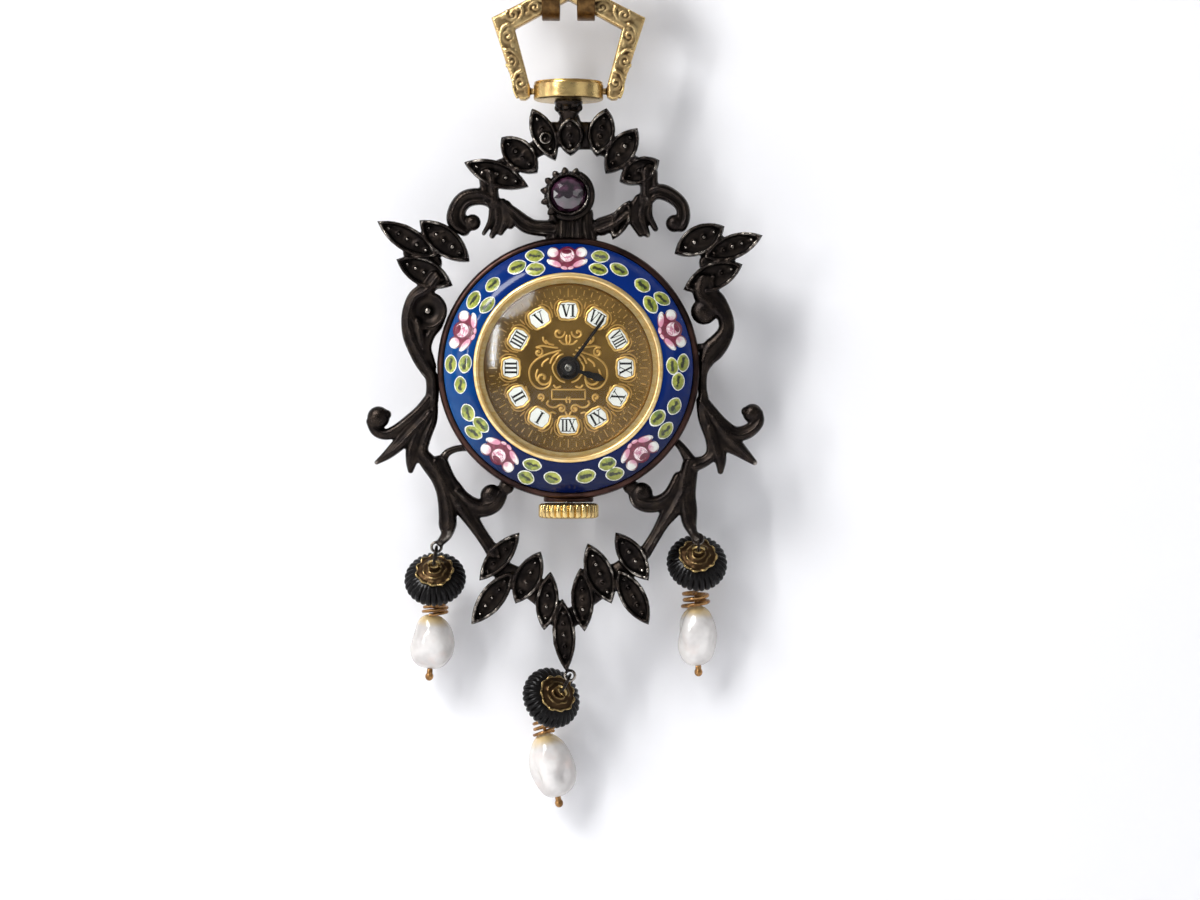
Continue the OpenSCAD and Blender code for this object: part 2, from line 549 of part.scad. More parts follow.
// A block behind the bar with the rivet that the pin's eye turns on
module pin_hinge() color("#b98d45") face_space() difference() {
    translate([hinge_x - eye_r, pin_y - eye_r, pin_z + knuckle_t / 2 + running])
        cube([2 * eye_r, 2 * eye_r, -brooch_t / 2 - pin_z - knuckle_t / 2 - running]);
    disc([hinge_x, pin_y], rivet_r, pin_z, pin_z + knuckle_t + 1);
}

module hinge_rivet() color("#8d6c37") face_space() {
    disc([hinge_x, pin_y], rivet_r, pin_z - knuckle_t / 2 - running - over, pin_z + knuckle_t + 0.6);
    translate([0, 0, pin_z - knuckle_t / 2 - running])
        disc([hinge_x, pin_y], rivet_r + 0.25, -0.3, 0);
}

module brooch_pin() color("#c9c4bb") face_space() difference() {
    union() {
        disc([hinge_x, pin_y], eye_r, pin_z - knuckle_t / 2, pin_z + knuckle_t / 2);
        translate([hinge_x, pin_y, pin_z]) rotate([0, 90, 0]) rotate_extrude()
            polygon([[0, 0], [pin_r, 0], [pin_r, catch_x - hinge_x + pin_end],
                [0.08, catch_x - hinge_x + pin_end + pin_point],
                [0, catch_x - hinge_x + pin_end + pin_point]]);
    }
    disc([hinge_x, pin_y], rivet_r + running, pin_z - 1, pin_z + 1);
}

// A hook open towards the bottom of the watch, which the pin springs into
module pin_catch() color("#b98d45") face_space() translate([catch_x, pin_y, pin_z]) difference() {
    reach = -brooch_t / 2 - pin_z;
    union() {
        rotate([0, 90, 0]) cylinder(r = pin_r + 0.55, h = 1.0, center = true);
        translate([-0.5, pin_r + 0.15, 0]) cube([1.0, 0.4, reach]);
    }
    rotate([0, 90, 0]) cylinder(r = pin_r + play, h = 2, center = true);
    translate([0, -pin_r - 1, 0]) cube([2, 2 * pin_r + 2, 2 * pin_r + play], center = true);
}

module stone_collet() color("#5a544c") face_space() translate([0, stone_y, relief_low - 0.3]) {
    difference() {
        union() {
            cylinder(r = collet_d / 2 - 0.6, h = collet_h);
            translate([0, 0, 0.3]) cylinder(r = collet_d / 2 - 0.1, h = 0.5);
        }
        translate([0, 0, collet_h - 0.9]) cylinder(r = stone_d / 2 - 0.15, h = 1);
        translate([0, 0, collet_h - 0.5]) cylinder(r = stone_d / 2, h = 1);
    }
    for (i = [0:11]) rotate(30 * i) translate([collet_d / 2 - 0.35, 0, 0.95]) sphere(r = 0.42, $fn = 24);
}

module violet_stone() color("#6d3f6b") face_space() {
    translate([0, stone_y, relief_low - 0.3 + collet_h - 0.5]) rotate_extrude()
        polygon([[0, 0], [stone_d / 2 - slip, 0], [stone_d / 2 - slip, 0.25],
        [stone_d / 2 - 0.35, 0.75], [stone_d / 2 - 1, 1.05], [0, 1.12]]);
}

module case_band() color("#8a6a55") face_space() difference() {
    union() {
        ring(case_r, band_in, -band_back, band_front - 0.3);
        ring(case_r, ring_bore, band_front - 0.3, band_front);
        translate([0, 0, band_front]) rotate_extrude($fn = 128)
            polygon([[enamel_r + slip, 0], [case_r, 0], [case_r - 0.3, enamel_low - band_front],
                [enamel_r + slip, enamel_low - band_front]]);
        translate([0, -case_r + 0.3, crown_z]) rotate([90, 0, 0]) intersection() {
            cylinder(r = neck_d / 2, h = neck_end - case_r + 0.3);
            translate([-neck_d, -1.7, 0]) cube([2 * neck_d, 3.3, 2]);
        }
    }
    translate([0, -case_r + 3, crown_z]) rotate([90, 0, 0]) cylinder(r = tube_r, h = 6);
}

module crown_tube() color("#b79a62") face_space() difference() {
    translate([0, -band_in + 0.4, crown_z]) rotate([90, 0, 0])
        cylinder(r = tube_r, h = neck_end - band_in + 0.4);
    translate([0, -band_in + 1, crown_z]) rotate([90, 0, 0]) cylinder(r = stem_r + running, h = 5);
}

module enamel_ring() color("#2b4fb0") face_space() rotate_extrude($fn = 128) {
    rise = enamel_high - enamel_low;
    steps = 5;
    top = [for (i = [0:steps]) [enamel_r - (enamel_w - slip) * i / steps,
        enamel_low + rise * sin(90 * i / steps)]];
    polygon(concat([[gold_r + slip, band_front], [enamel_r, band_front]], top));
}

module gold_ring() color("#d0a95c") face_space() rotate_extrude($fn = 128)
    polygon([[seat_r, dial_top], [seat_r, seat_z], [crystal_r + slip, seat_z],
        [crystal_r + slip, crystal_edge], [crystal_r + slip + 0.12, gold_ring_top],
        [gold_r - 0.1, gold_ring_top], [gold_r, enamel_high], [gold_r, band_front],
        [dial_r + slip, band_front], [dial_r + slip, dial_top]]);

module crystal() color("#dfe8ea", 0.35) face_space() {
    difference() {
        union() {
            translate([0, 0, seat_z]) cylinder(r = crystal_r, h = crystal_edge - seat_z, $fn = 128);
            intersection() {
                translate([0, 0, dome_z]) sphere(r = dome_r, $fn = 128);
                translate([0, 0, crystal_edge]) cylinder(r = crystal_r, h = crystal_rise + 1, $fn = 128);
            }
        }
        translate([0, 0, seat_z - over])
            cylinder(r = crystal_r - crystal_wall, h = crystal_edge - seat_z + over, $fn = 128);
        intersection() {
            translate([0, 0, dome_z]) sphere(r = dome_r - crystal_wall, $fn = 128);
            translate([0, 0, crystal_edge - 0.01])
                cylinder(r = crystal_r - crystal_wall, h = crystal_rise + 1, $fn = 128);
        }
    }
}

module dial() color("#c8a45c") face_space() ring(dial_r, hour_tube_r + play, dial_top - dial_t, dial_top);

// A flat spoked wheel: trapezoid teeth on the pitch circle, with backlash
module gear_2d(teeth, m, turn) {
    r = m * teeth / 2;
    rotate(turn) {
        circle(r = r - m, $fn = 96);
        for (i = [0:teeth - 1]) rotate(360 * i / teeth)
            polygon([[r - 1.2 * m, -0.36 * m], [r - 1.2 * m, 0.36 * m], [r, 0.36 * m],
                [r + 0.75 * m, 0.16 * m], [r + 0.75 * m, -0.16 * m], [r, -0.36 * m]]);
    }
}

module gear(at, teeth, m, turn, z0, z1, spokes = 0) {
    r = m * teeth / 2;
    translate([at[0], at[1], z0]) linear_extrude(z1 - z0) offset(delta = 0) difference() {
        gear_2d(teeth, m, turn);
        if (spokes > 0) for (i = [0:spokes - 1]) rotate(360 * i / spokes + 20)
            intersection() {
                difference() {
                    circle(r = r - 4 * m, $fn = 48);
                    circle(r = 0.28 * r, $fn = 24);
                }
                polygon([[0, 0], [2 * r, 0.35 * r], [2 * r, 2.6 * r * sin(180 / spokes)]]);
            }
    }
}

// The two turns that put a tooth of one wheel in a gap of the other
function tooth_turn(angle) = angle;
function gap_turn(angle, teeth) = angle + 180 + 180 / teeth;

module mainspring_barrel() color("#c9b06a") face_space() {
    gear(barrel_at, barrel_teeth, train_module, gap_turn(225, barrel_teeth),
        third_z - 0.27, third_z - 0.12);
    disc(barrel_at, train_module * barrel_teeth / 2 - 0.35, barrel_z[0], barrel_z[1]);
    disc(barrel_at, 0.7, barrel_z[1] - over, plate_low - 0.05);
}

module centre_wheel() color("#d9bd72") face_space() {
    union() {
        gear([0, 0], centre_teeth, train_module, tooth_turn(100), centre_z, centre_z + wheel_t, 5);
        gear([0, 0], centre_leaves, train_module, tooth_turn(225), third_z - 0.32, third_z - 0.07);
        disc([0, 0], 0.25, bridge_top - staff_end, plate_top + 0.05);
        disc([0, 0], pivot_r, plate_top, minute_hand_z - 0.15);
    }
}

module third_wheel() color("#d9bd72") face_space() {
    gear(third_at, third_leaves, train_module, gap_turn(100, third_leaves),
        centre_z - 0.1, centre_z + wheel_t + 0.1);
    gear(third_at, third_teeth, train_module, tooth_turn(-20), third_z, third_z + wheel_t, 5);
    disc(third_at, pivot_r, bridge_top - staff_end, plate_low + staff_end);
}

module fourth_wheel() color("#d9bd72") face_space() {
    gear(fourth_at, fourth_leaves, train_module, gap_turn(-20, fourth_leaves),
        third_z - 0.1, third_z + wheel_t + 0.1);
    gear(fourth_at, fourth_teeth, fourth_module, tooth_turn(-50), fourth_z, fourth_z + wheel_t, 5);
    disc(fourth_at, pivot_r, bridge_top - staff_end, plate_low + staff_end);
}

module escape_wheel() color("#c8ccd0") face_space() {
    gear(escape_at, escape_leaves, fourth_module, gap_turn(-50, escape_leaves),
        fourth_z - 0.1, fourth_z + wheel_t + 0.1);
    translate([escape_at[0], escape_at[1], escape_z + 0.1]) linear_extrude(wheel_t) offset(delta = 0) {
        difference() {
            circle(r = 0.75 * escape_r, $fn = 48);
            circle(r = 0.6 * escape_r, $fn = 48);
        }
        circle(r = 0.25, $fn = 24);
        for (i = [0:3]) rotate(90 * i + 10) translate([0, -0.06]) square([0.7 * escape_r, 0.12]);
        for (i = [0:escape_teeth - 1]) rotate(360 * i / escape_teeth)
            polygon([[0.72 * escape_r, -0.05], [0.72 * escape_r, 0.12], [escape_r, 0.14],
                [escape_r, 0.08]]);
    }
    disc(escape_at, pivot_r, bridge_top - staff_end, plate_low + staff_end);
}

// Lever with two pallet stones towards the escape wheel and a fork towards the balance
module pallet_fork() color("#b9bdc2") face_space() {
    translate([pallet_at[0], pallet_at[1], escape_z + 0.1]) linear_extrude(wheel_t) offset(delta = 0) {
        circle(r = 0.3, $fn = 24);
        for (s = [-1, 1]) rotate(100 + s * 50) translate([0, -0.09]) square([0.8, 0.18]);
        rotate(-110) translate([0, -0.09]) square([1.7, 0.18]);
        rotate(-110) for (s = [-1, 1]) translate([1.65, s * 0.2 - 0.07]) square([0.5, 0.14]);
        rotate(-110) translate([1.55, -0.27]) square([0.14, 0.54]);
    }
    disc(pallet_at, pivot_r, bridge_top - staff_end, plate_low + staff_end);
}

module balance_wheel() color("#dcc27a") face_space() {
    balance_r = balance_d / 2;
    translate([balance_at[0], balance_at[1], balance_z]) {
        linear_extrude(0.22) offset(delta = 0) {
            difference() {
                circle(r = balance_r, $fn = 96);
                circle(r = balance_r - 0.3, $fn = 96);
            }
            circle(r = 0.35, $fn = 24);
            for (i = [0:2]) rotate(120 * i + 30) translate([0, -0.12]) square([balance_r - 0.1, 0.24]);
        }
    }
    disc(balance_at, pivot_r, cock_low - 0.1, plate_low + staff_end);
    disc(balance_at, 0.3, escape_z + wheel_t + 0.15, escape_z + wheel_t + 0.3);
    disc(spot(balance_at, 70, 0.22), 0.05, escape_z + 0.05, escape_z + wheel_t + 0.2);
}

// A flat spiral from near the staff out to the stud on the cock
module hairspring() color("#5d7ea6") face_space()
    translate([balance_at[0], balance_at[1], spring_z]) rotate(cock_turn) {
        turns = 5;
        per_turn = 16;
        pitch = 0.16;
        strip = 0.05;
        start = 0.32;
        n = turns * per_turn;
        outer = [for (i = [0:n]) spot([0, 0], 360 * i / per_turn, start + strip + pitch * i / per_turn)];
        inner = [for (i = [n:-1:0]) spot([0, 0], 360 * i / per_turn, start + pitch * i / per_turn)];
        linear_extrude(0.08) polygon(concat(outer, inner));
        translate([start + turns * pitch + strip / 2, 0, cock_low - spring_z])
            cylinder(r = 0.1, h = spring_z - cock_low + 0.08, $fn = 24);
    }

module main_plate() color("#c9c6be") face_space() difference() {
    union() {
        disc([0, 0], plate_r, plate_low, plate_top);
        ring(plate_r, rim_in, bridge_top, plate_low + over);
        ring(plate_r, rim_in, plate_top - over, dial_top - dial_t);
        disc(spot([0, 0], 90, motion_dist), 0.18, plate_top - over, plate_top + 0.45);
    }
    disc([0, 0], 0.25 + running, plate_low - 1, plate_top + 1);
    for (p = [third_at, fourth_at, escape_at, pallet_at, balance_at])
        disc(p, pivot_r + running, plate_low - over, plate_low + 0.3);
    translate([0, -rim_in + 1, crown_z]) rotate([90, 0, 0]) cylinder(r = stem_r + play, h = 3);
    translate([-pinion_r, pinion_from - pinion_len - play, plate_low - over])
        cube([2 * pinion_r, pinion_len + 2 * play, crown_z + pinion_r + play - plate_low + over]);
}

module train_bridge() color("#cfccc4") face_space() difference() {
    disc([0, 0], plate_r, bridge_low, bridge_top);
    disc(balance_at, balance_d / 2 - 0.3, bridge_low - 1, bridge_top + 1);
    translate([0, 0, bridge_low - over]) linear_extrude(bridge_t + 2 * over) cock_foot_2d(slip);
    for (p = [third_at, fourth_at, escape_at, pallet_at])
        disc(p, pivot_r + running, bridge_low - over, bridge_top + over);
    disc([0, 0], 0.25 + running, bridge_low - over, bridge_top + over);
    disc(barrel_at, 0.4 + running, bridge_low - 1, bridge_top + 1);
    translate([-pinion_r, pinion_from - pinion_len - play, bridge_low - over])
        cube([2 * pinion_r, pinion_len + 2 * play, bridge_t + 2 * over]);
    for (p = screw_places()) disc(p, 0.25, bridge_low - over, bridge_top + over);
}

function screw_places() = [for (a = [20, 95, 160, 250]) spot([0, 0], a, plate_r - 1.0)];
cock_turn = atan2(balance_at[1], balance_at[0]);
cock_screw = spot([0, 0], cock_turn, plate_r - 0.38);

module cock_foot_2d(room) {
    difference() {
        intersection() {
            circle(r = plate_r);
            rotate(cock_turn) translate([plate_r - 2, -0.9 - room]) square([3, 1.8 + 2 * room]);
        }
        circle(r = plate_r - 0.7 - room);
    }
}

module balance_cock() color("#cfccc4") face_space() difference() {
    union() {
        translate([0, 0, cock_low - 0.15]) intersection() {
            cylinder(r = plate_r, h = 0.15);
            linear_extrude(1) {
                translate(balance_at) circle(r = 0.9);
                translate(balance_at) rotate(cock_turn) translate([0, -0.9]) square([plate_r, 1.8]);
            }
        }
        translate([0, 0, cock_low - over]) linear_extrude(bridge_top - cock_low + over) cock_foot_2d(0);
    }
    disc(balance_at, pivot_r + running, cock_low - 1, bridge_low + 1);
    disc(cock_screw, 0.15, cock_low - 1, bridge_top + 1);
}

module screw(at, seat, shank) {
    difference() {
        disc(at, 0.42, seat - 0.2, seat);
        translate([at[0] - 0.5, at[1] - 0.05, seat - 0.3]) cube([1, 0.1, 0.18]);
    }
    disc(at, 0.25, seat - 0.02, seat + shank);
}

module movement_screws() color("#8fa0b8") face_space() {
    for (p = screw_places()) screw(p, bridge_low, bridge_t);
    disc(cock_screw, 0.3, cock_low - 0.3, cock_low - 0.15);
    disc(cock_screw, 0.15, cock_low - 0.2, bridge_top);
}

module movement_ring() color("#a9a49a") face_space() difference() {
    ring(band_in - slip, ring_bore, -1.0, band_front - 0.3);
    translate([0, -ring_bore + 1, crown_z]) rotate([90, 0, 0]) cylinder(r = tube_r + play, h = 6);
}

module case_back() color("#8f7a62") face_space() {
    difference() {
        union() {
            ring(back_lip_r, back_lip_r - 0.5, -band_back - over, -band_back + 0.8);
            translate([0, 0, -back_depth])
                cylinder(r1 = back_flat_r, r2 = case_r - 0.1, h = back_depth - band_back, $fn = 128);
        }
        translate([0, 0, -back_depth + back_wall])
            cylinder(r1 = back_flat_r, r2 = case_r - 0.7 - back_wall,
                h = back_depth - band_back - back_wall + 0.01, $fn = 128);
    }
}

module hand_2d(length, wide) {
    polygon([[0, -wide / 2], [length * 0.55, -wide / 2], [length * 0.75, -wide * 0.85], [length, 0],
        [length * 0.75, wide * 0.85], [length * 0.55, wide / 2], [0, wide / 2]]);
}

module minute_hand() color("#17151a") face_space() difference() {
    translate([0, 0, minute_hand_z]) union() {
        rotate(minute_angle) translate([-1.3, 0, 0]) linear_extrude(hand_t)
            polygon([[0, -0.16], [minute_len + 1.2, -0.14], [minute_len + 1.3, 0],
                [minute_len + 1.2, 0.14], [0, 0.16]]);
        cylinder(r = 0.8, h = hand_t);
    }
    disc([0, 0], 0.25, minute_hand_z - 1, minute_hand_z + 1);
}

module cannon_pinion() color("#c8ccd0") face_space() difference() {
    union() {
        gear([0, 0], cannon_teeth, train_module, tooth_turn(90),
            plate_top + 0.1, plate_top + 0.1 + wheel_t);
        disc([0, 0], cannon_r, plate_top + 0.1, minute_hand_z);
        disc([0, 0], 0.25, minute_hand_z - 0.1, minute_hand_z + hand_t);
        disc([0, 0], 0.35, minute_hand_z + hand_t, minute_hand_z + hand_t + 0.1);
    }
    disc([0, 0], pivot_r + running, plate_top - 1, minute_hand_z - 0.1);
}

module hour_hand() color("#17151a") face_space() difference() {
    translate([0, 0, hour_hand_z]) union() {
        rotate(hour_angle) linear_extrude(hand_t) hand_2d(hour_len, 0.38);
        cylinder(r = 1.15, h = hand_t);
    }
    disc([0, 0], hour_tube_r, hour_hand_z - 1, hour_hand_z + 1);
}

module hour_wheel() color("#d9bd72") face_space() difference() {
    union() {
        gear([0, 0], hour_teeth, hour_module, gap_turn(90, hour_teeth) + 180,
            plate_top + 0.32, plate_top + 0.32 + wheel_t);
        disc([0, 0], hour_tube_r, plate_top + 0.32, hour_hand_z + hand_t);
    }
    disc([0, 0], cannon_r + running, plate_top, hour_hand_z + 1);
}

module minute_wheel() color("#d9bd72") face_space() difference() {
    minute_at = spot([0, 0], 90, motion_dist);
    union() {
        gear(minute_at, minute_wheel_teeth, train_module, gap_turn(90, minute_wheel_teeth),
            plate_top + 0.1, plate_top + 0.1 + wheel_t);
        gear(minute_at, minute_leaves, hour_module, tooth_turn(-90), plate_top + 0.2, plate_top + 0.5);
    }
    disc(minute_at, 0.18 + running, plate_top - 1, plate_top + 1);
}

module winding_pinion() color("#9da3aa") face_space()
    translate([0, pinion_from, crown_z]) rotate([90, 0, 0]) difference() {
        linear_extrude(pinion_len) offset(delta = 0) intersection() {
            circle(r = pinion_r, $fn = 48);
            union() {
                circle(r = 0.8 * pinion_r, $fn = 48);
                for (i = [0:pinion_teeth - 1]) rotate(360 * i / pinion_teeth)
                    translate([0, -0.11]) square([pinion_r + 1, 0.22]);
            }
        }
        translate([0, 0, -1]) cylinder(r = stem_r + running, h = 4);
    }

module winding_stem() color("#9da3aa") face_space()
    translate([0, pinion_from + 0.3, crown_z]) rotate([90, 0, 0])
        cylinder(r = stem_r, h = crown_from + pinion_from + 0.3 + 0.9);

module crown() color("#d2a955") face_space() translate([0, -crown_from, crown_z]) rotate([90, 0, 0]) {
    low_r = crown_r - 0.28;
    edge = 0.2;
    pitch = 360 / crown_grooves;
    rib = [[-0.3, low_r], [-0.16, crown_r], [0.16, crown_r], [0.3, low_r]];
    difference() {
        union() {
            linear_extrude(crown_len - edge) polygon([for (i = [0:crown_grooves - 1], q = rib)
                q[1] * [cos(pitch * (i + q[0])), sin(pitch * (i + q[0]))]]);
            translate([0, 0, crown_len - edge]) cylinder(r1 = low_r - 0.1, r2 = low_r - 0.4, h = edge);
        }
        translate([0, 0, -over]) cylinder(r = stem_r, h = 0.9 + over);
    }
}

module crown_wheel() color("#b9bdc2") face_space() difference() {
    union() {
        gear(crown_wheel_at, crown_wheel_teeth, winding_module,
            gap_turn(wind_angle, crown_wheel_teeth),
            wind_low - wind_t, wind_low);
        disc(crown_wheel_at, 0.45, wind_low - over, bridge_low);
    }
    disc(crown_wheel_at, 0.15, wind_low - wind_t - 1, wind_low - wind_t + 0.1);
}

module ratchet_wheel() color("#b9bdc2") face_space() {
    gear(barrel_at, ratchet_teeth, winding_module,
        tooth_turn(wind_angle), wind_low - wind_t, wind_low);
    disc(barrel_at, 0.4, wind_low - over, barrel_z[0] - running);
}

// A small pawl that drops between the ratchet's teeth
click_at = spot(barrel_at, 120, 3.0);
module click() color("#b9bdc2") face_space() {
    tip = spot(barrel_at, 150, ratchet_r + 0.14);
    reach = tip - click_at;
    translate([click_at[0], click_at[1], wind_low - wind_t]) {
        cylinder(r = 0.35, h = wind_t);
        rotate(atan2(reach[1], reach[0])) linear_extrude(wind_t)
            polygon([[0, -0.25], [norm2(reach), -0.06], [norm2(reach), 0.06], [0, 0.25]]);
    }
    disc(click_at, 0.2, wind_low - over, bridge_low);
}

module at_bead(i) {
    translate(bead_point(i)) rotate([0, 0, bead_lean[i][1]]) rotate([bead_lean[i][0], 0, 0]) children();
}

module at_pearl(i) {
    translate(pearl_point(i)) rotate([0, 0, pearl_lean[i]]) children();
}

module drop_link(i) color("#b8b4ab") face_space() translate(eye_point(i))
    rotate([0, 0, link_lean[i][1]]) rotate([link_lean[i][0], 0, 0])
        translate([0, -link_r[i], 0]) rotate([0, 90, 0]) torus(link_r[i], wire_r);

// Turned bead with an oval section, cut with narrow flutes round its waist
module drop_bead(i) color("#191716") face_space() at_bead(i)
    translate([0, -bead_mid, 0]) rotate([-90, 0, 0]) {
    steps = 8;
    flutes = 22;
    half = [for (k = [0:steps]) let (a = -90 + 180 * k / steps)
        [max(bead_d / 2 * pow(cos(a), 0.75), bore_r + 0.35), bead_h / 2 * sin(a)]];
    difference() {
        rotate_extrude() polygon(concat([[bore_r, -bead_h / 2]], half, [[bore_r, bead_h / 2]]));
        for (k = [0:flutes - 1]) rotate(360 * k / flutes) translate([bead_d / 2 + 0.1, 0, 0])
            cylinder(r = 0.3, h = 2 * bead_h, center = true, $fn = 16);
    }
}

// Domed cap, eye pin through the bead and the loops at both its ends
module drop_cap(i) color("#b3904a") face_space() at_bead(i) {
    translate([0, -loop_drop, 0]) torus(loop_r, wire_r);
    translate([0, -bead_mid, 0]) rotate([-90, 0, 0]) {
        translate([0, 0, bead_h / 2]) rotate_extrude() polygon([[0, 0], [cap_d / 2, 0], [cap_d / 2, 0.12],
            [cap_d / 3, 0.3], [0.4, cap_h], [0, cap_h]]);
        translate([0, 0, -bead_h / 2 - 0.1]) cylinder(r = bore_r - 0.1, h = bead_h + 0.2);
        translate([0, 0, bead_h / 2]) cylinder(r = wire_r + 0.05, h = cap_h + wire_r);
        translate([0, 0, -bead_h / 2 - 0.15]) cylinder(r = 0.8, h = 0.15);
    }
    translate([0, -bead_mid - under_loop, 0]) rotate([0, under_turn[i], 0]) torus(loop_r, wire_r);
}

// Head pin: a loop at the top, a bound neck, the shank through the pearl and a ball below
module drop_wire(i) color("#9a743a") face_space() at_pearl(i) {
    neck = neck_len[i];
    coil = [[0, 0], [0.6, 0.04], [0.75, 0.2], [0.65, 0.35], [0.85, 0.5], [0.75, 0.65], [1.05, 0.85],
        [1.0, 1], [0, 1]];
    translate([0, -loop_drop, 0]) rotate([0, 90 + pearl_turn[i], 0]) torus(loop_r, wire_r);
    rotate([90, 0, 0]) {
        translate([0, 0, loop_drop + loop_r])
            cylinder(r = wire_r + 0.03, h = neck - loop_drop - loop_r + over);
        translate([0, 0, neck - coil_h[i]]) rotate_extrude()
            polygon([for (q = coil) [q[0], coil_h[i] * q[1]]]);
        translate([0, 0, neck]) cylinder(r = wire_r, h = pearl_len[i] + 0.3);
        translate([0, 0, neck + pearl_len[i] + 0.4]) sphere(r = 0.5, $fn = 32);
    }
}

module drop_pearl(i) color("#ece7dc") face_space() at_pearl(i)
    translate([0, -neck_len[i] - pearl_len[i] / 2, 0]) rotate([-90, 0, 0]) {
        steps = 10;
        long = pearl_len[i] / 2;
        difference() {
            rotate_extrude() polygon([for (k = [0:steps]) let (a = -90 + 180 * k / steps)
                [pearl_d[i] / 2 * pow(abs(cos(a)), 0.8) * (1 - 0.05 * sin(a)), long * sin(a)]]);
            cylinder(r = wire_r + slip, h = 2 * long + 1, center = true);
            for (s = [-1, 1]) translate([0, 0, s * (long + 0.85)]) cylinder(r = 1.6, h = 2, center = true);
        }
    }

brooch_bar();
straps();
pin_hinge();
hinge_rivet();
pin_catch();
brooch_pin();
bail();
bail_pins();
swivel_collar();
frame_crest();
frame_wreath();
swivel_stem();
stone_collet();
violet_stone();
case_band();
enamel_ring();
gold_ring();
crystal();
dial();
movement_ring();
main_plate();
train_bridge();
balance_cock();
movement_screws();
crown_tube();
hairspring();
case_back();
minute_hand();
cannon_pinion();
hour_hand();
hour_wheel();
minute_wheel();
mainspring_barrel();
centre_wheel();
third_wheel();
fourth_wheel();
escape_wheel();
pallet_fork();
balance_wheel();
winding_pinion();
crown();
winding_stem();
crown_wheel();
ratchet_wheel();
click();
drop_link(0);  // left_link
drop_bead(0);  // left_bead
drop_cap(0);  // left_cap
drop_wire(0);  // left_wire
drop_pearl(0);  // left_pearl
drop_link(1);  // centre_link
drop_bead(1);  // centre_bead
drop_cap(1);  // centre_cap
drop_wire(1);  // centre_wire
drop_pearl(1);  // centre_pearl
drop_link(2);  // right_link
drop_bead(2);  // right_bead
drop_cap(2);  // right_cap
drop_wire(2);  // right_wire
drop_pearl(2);  // right_pearl
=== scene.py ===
import json
import math
import random

import bmesh
import bpy
import numpy as np
from bpy.props import FloatProperty, FloatVectorProperty, IntProperty, PointerProperty
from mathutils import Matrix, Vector

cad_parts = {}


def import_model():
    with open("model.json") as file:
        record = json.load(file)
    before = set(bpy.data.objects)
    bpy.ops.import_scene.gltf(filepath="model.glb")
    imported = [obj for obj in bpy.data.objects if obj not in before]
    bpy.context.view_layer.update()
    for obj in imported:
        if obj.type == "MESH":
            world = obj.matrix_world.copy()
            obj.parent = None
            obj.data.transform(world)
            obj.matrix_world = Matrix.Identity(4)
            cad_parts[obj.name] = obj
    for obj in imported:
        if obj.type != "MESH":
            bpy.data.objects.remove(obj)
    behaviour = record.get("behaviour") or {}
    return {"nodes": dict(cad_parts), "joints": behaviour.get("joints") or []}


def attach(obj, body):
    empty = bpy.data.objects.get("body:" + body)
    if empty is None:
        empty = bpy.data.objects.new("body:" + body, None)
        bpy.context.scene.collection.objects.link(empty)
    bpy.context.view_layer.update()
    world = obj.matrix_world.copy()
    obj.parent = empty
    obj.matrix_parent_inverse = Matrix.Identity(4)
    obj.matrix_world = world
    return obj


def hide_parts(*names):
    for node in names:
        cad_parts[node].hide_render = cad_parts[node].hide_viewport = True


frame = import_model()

bl_info = {
    "name": "Brooch watch",
    "version": (1, 0, 0),
    "blender": (4, 5, 0),
    "location": "View3D > Sidebar > Brooch watch",
    "description": "Casts, enamels, polishes and strings the visible pieces of a brooch watch",
    "category": "Object",
}

# Everything below is set out in millimetres as one looks at the dial: x to the right, y up,
# z towards the viewer, with the middle of the dial at zero.
MM = 0.001
DIAL = np.array(next(j for j in frame["joints"] if j["name"] == "minute_turn")["pos_m"])

# The photograph's own points: the pixel of the dial's middle, and pixels to a millimetre
PHOTO_SIZE = (1200, 900)
DIAL_PIXEL = (568.5, 368.5)
PIXELS_PER_MM = 10.0
ROSE_PIXELS = [(567.5, 259), (670.5, 331), (639, 452), (501, 454), (465, 332)]
# Enamel leaves: pixel, then how many degrees each leans from the ring's own direction
LEAF_PIXELS = [
    (535, 257, -18), (517.5, 268.5, 0), (536, 271, -12), (493.6, 286, 4), (474.4, 301, 8),
    (488.3, 306.5, -4), (451.7, 364.6, 2), (466.5, 364.6, -8), (461.6, 385.5, -6),
    (469, 413, 0), (482, 425, 14), (474.4, 432.6, 26), (532.8, 464.6, 8), (526.4, 477.3, -4),
    (553, 477.7, -6), (586, 476, 8), (607.3, 463.8, -4), (614.8, 473.7, -10),
    (673.7, 406.5, -6), (657, 418.4, -14), (665.2, 430.6, -6), (682.6, 363.4, -8),
    (671.7, 367, 10), (677.5, 382, 4), (642, 286.7, 8), (661.5, 299.7, 22), (650, 306, -4),
    (600.4, 257.8, 10), (598.4, 271, 2), (619, 271, 0)]

# Case and front: the enamel ring's edges and its surface there, the dial's face, and the bottom
# and top of what lies on it; hands point at angles from x
ENAMEL_R = 12.4
ENAMEL_IN = 9.42
ENAMEL_LOW = 1.3
ENAMEL_HIGH = 3.3
CRYSTAL_R = 8.8
DIAL_TOP = 2.0
PANEL_Z = (1.99, 2.07)
NUMERAL_Z = (2.06, 2.095)
HAND_Z = {"minute": (2.55, 2.7), "hour": (2.22, 2.37)}
HAND_ANGLES = {"minute": 54.0, "hour": -18.0}
CROWN_Z = -0.7

# Frame: its front and a leaf's sunk face, both over the casting's middle (its back lies as far
# under it), and the heights over the dial of what stands on it
FRONT = 0.9
LEAF_FACE = 0.42
LEAF_RIM = 0.6
SEED_STEP = 1.35
STONE_Y = 17.25
COLLAR_Y = (26.8, 28.6)
SIDE_PIN_Y = 27.7
STRAP_Y = 36.9655
BROOCH_Y = 41.859

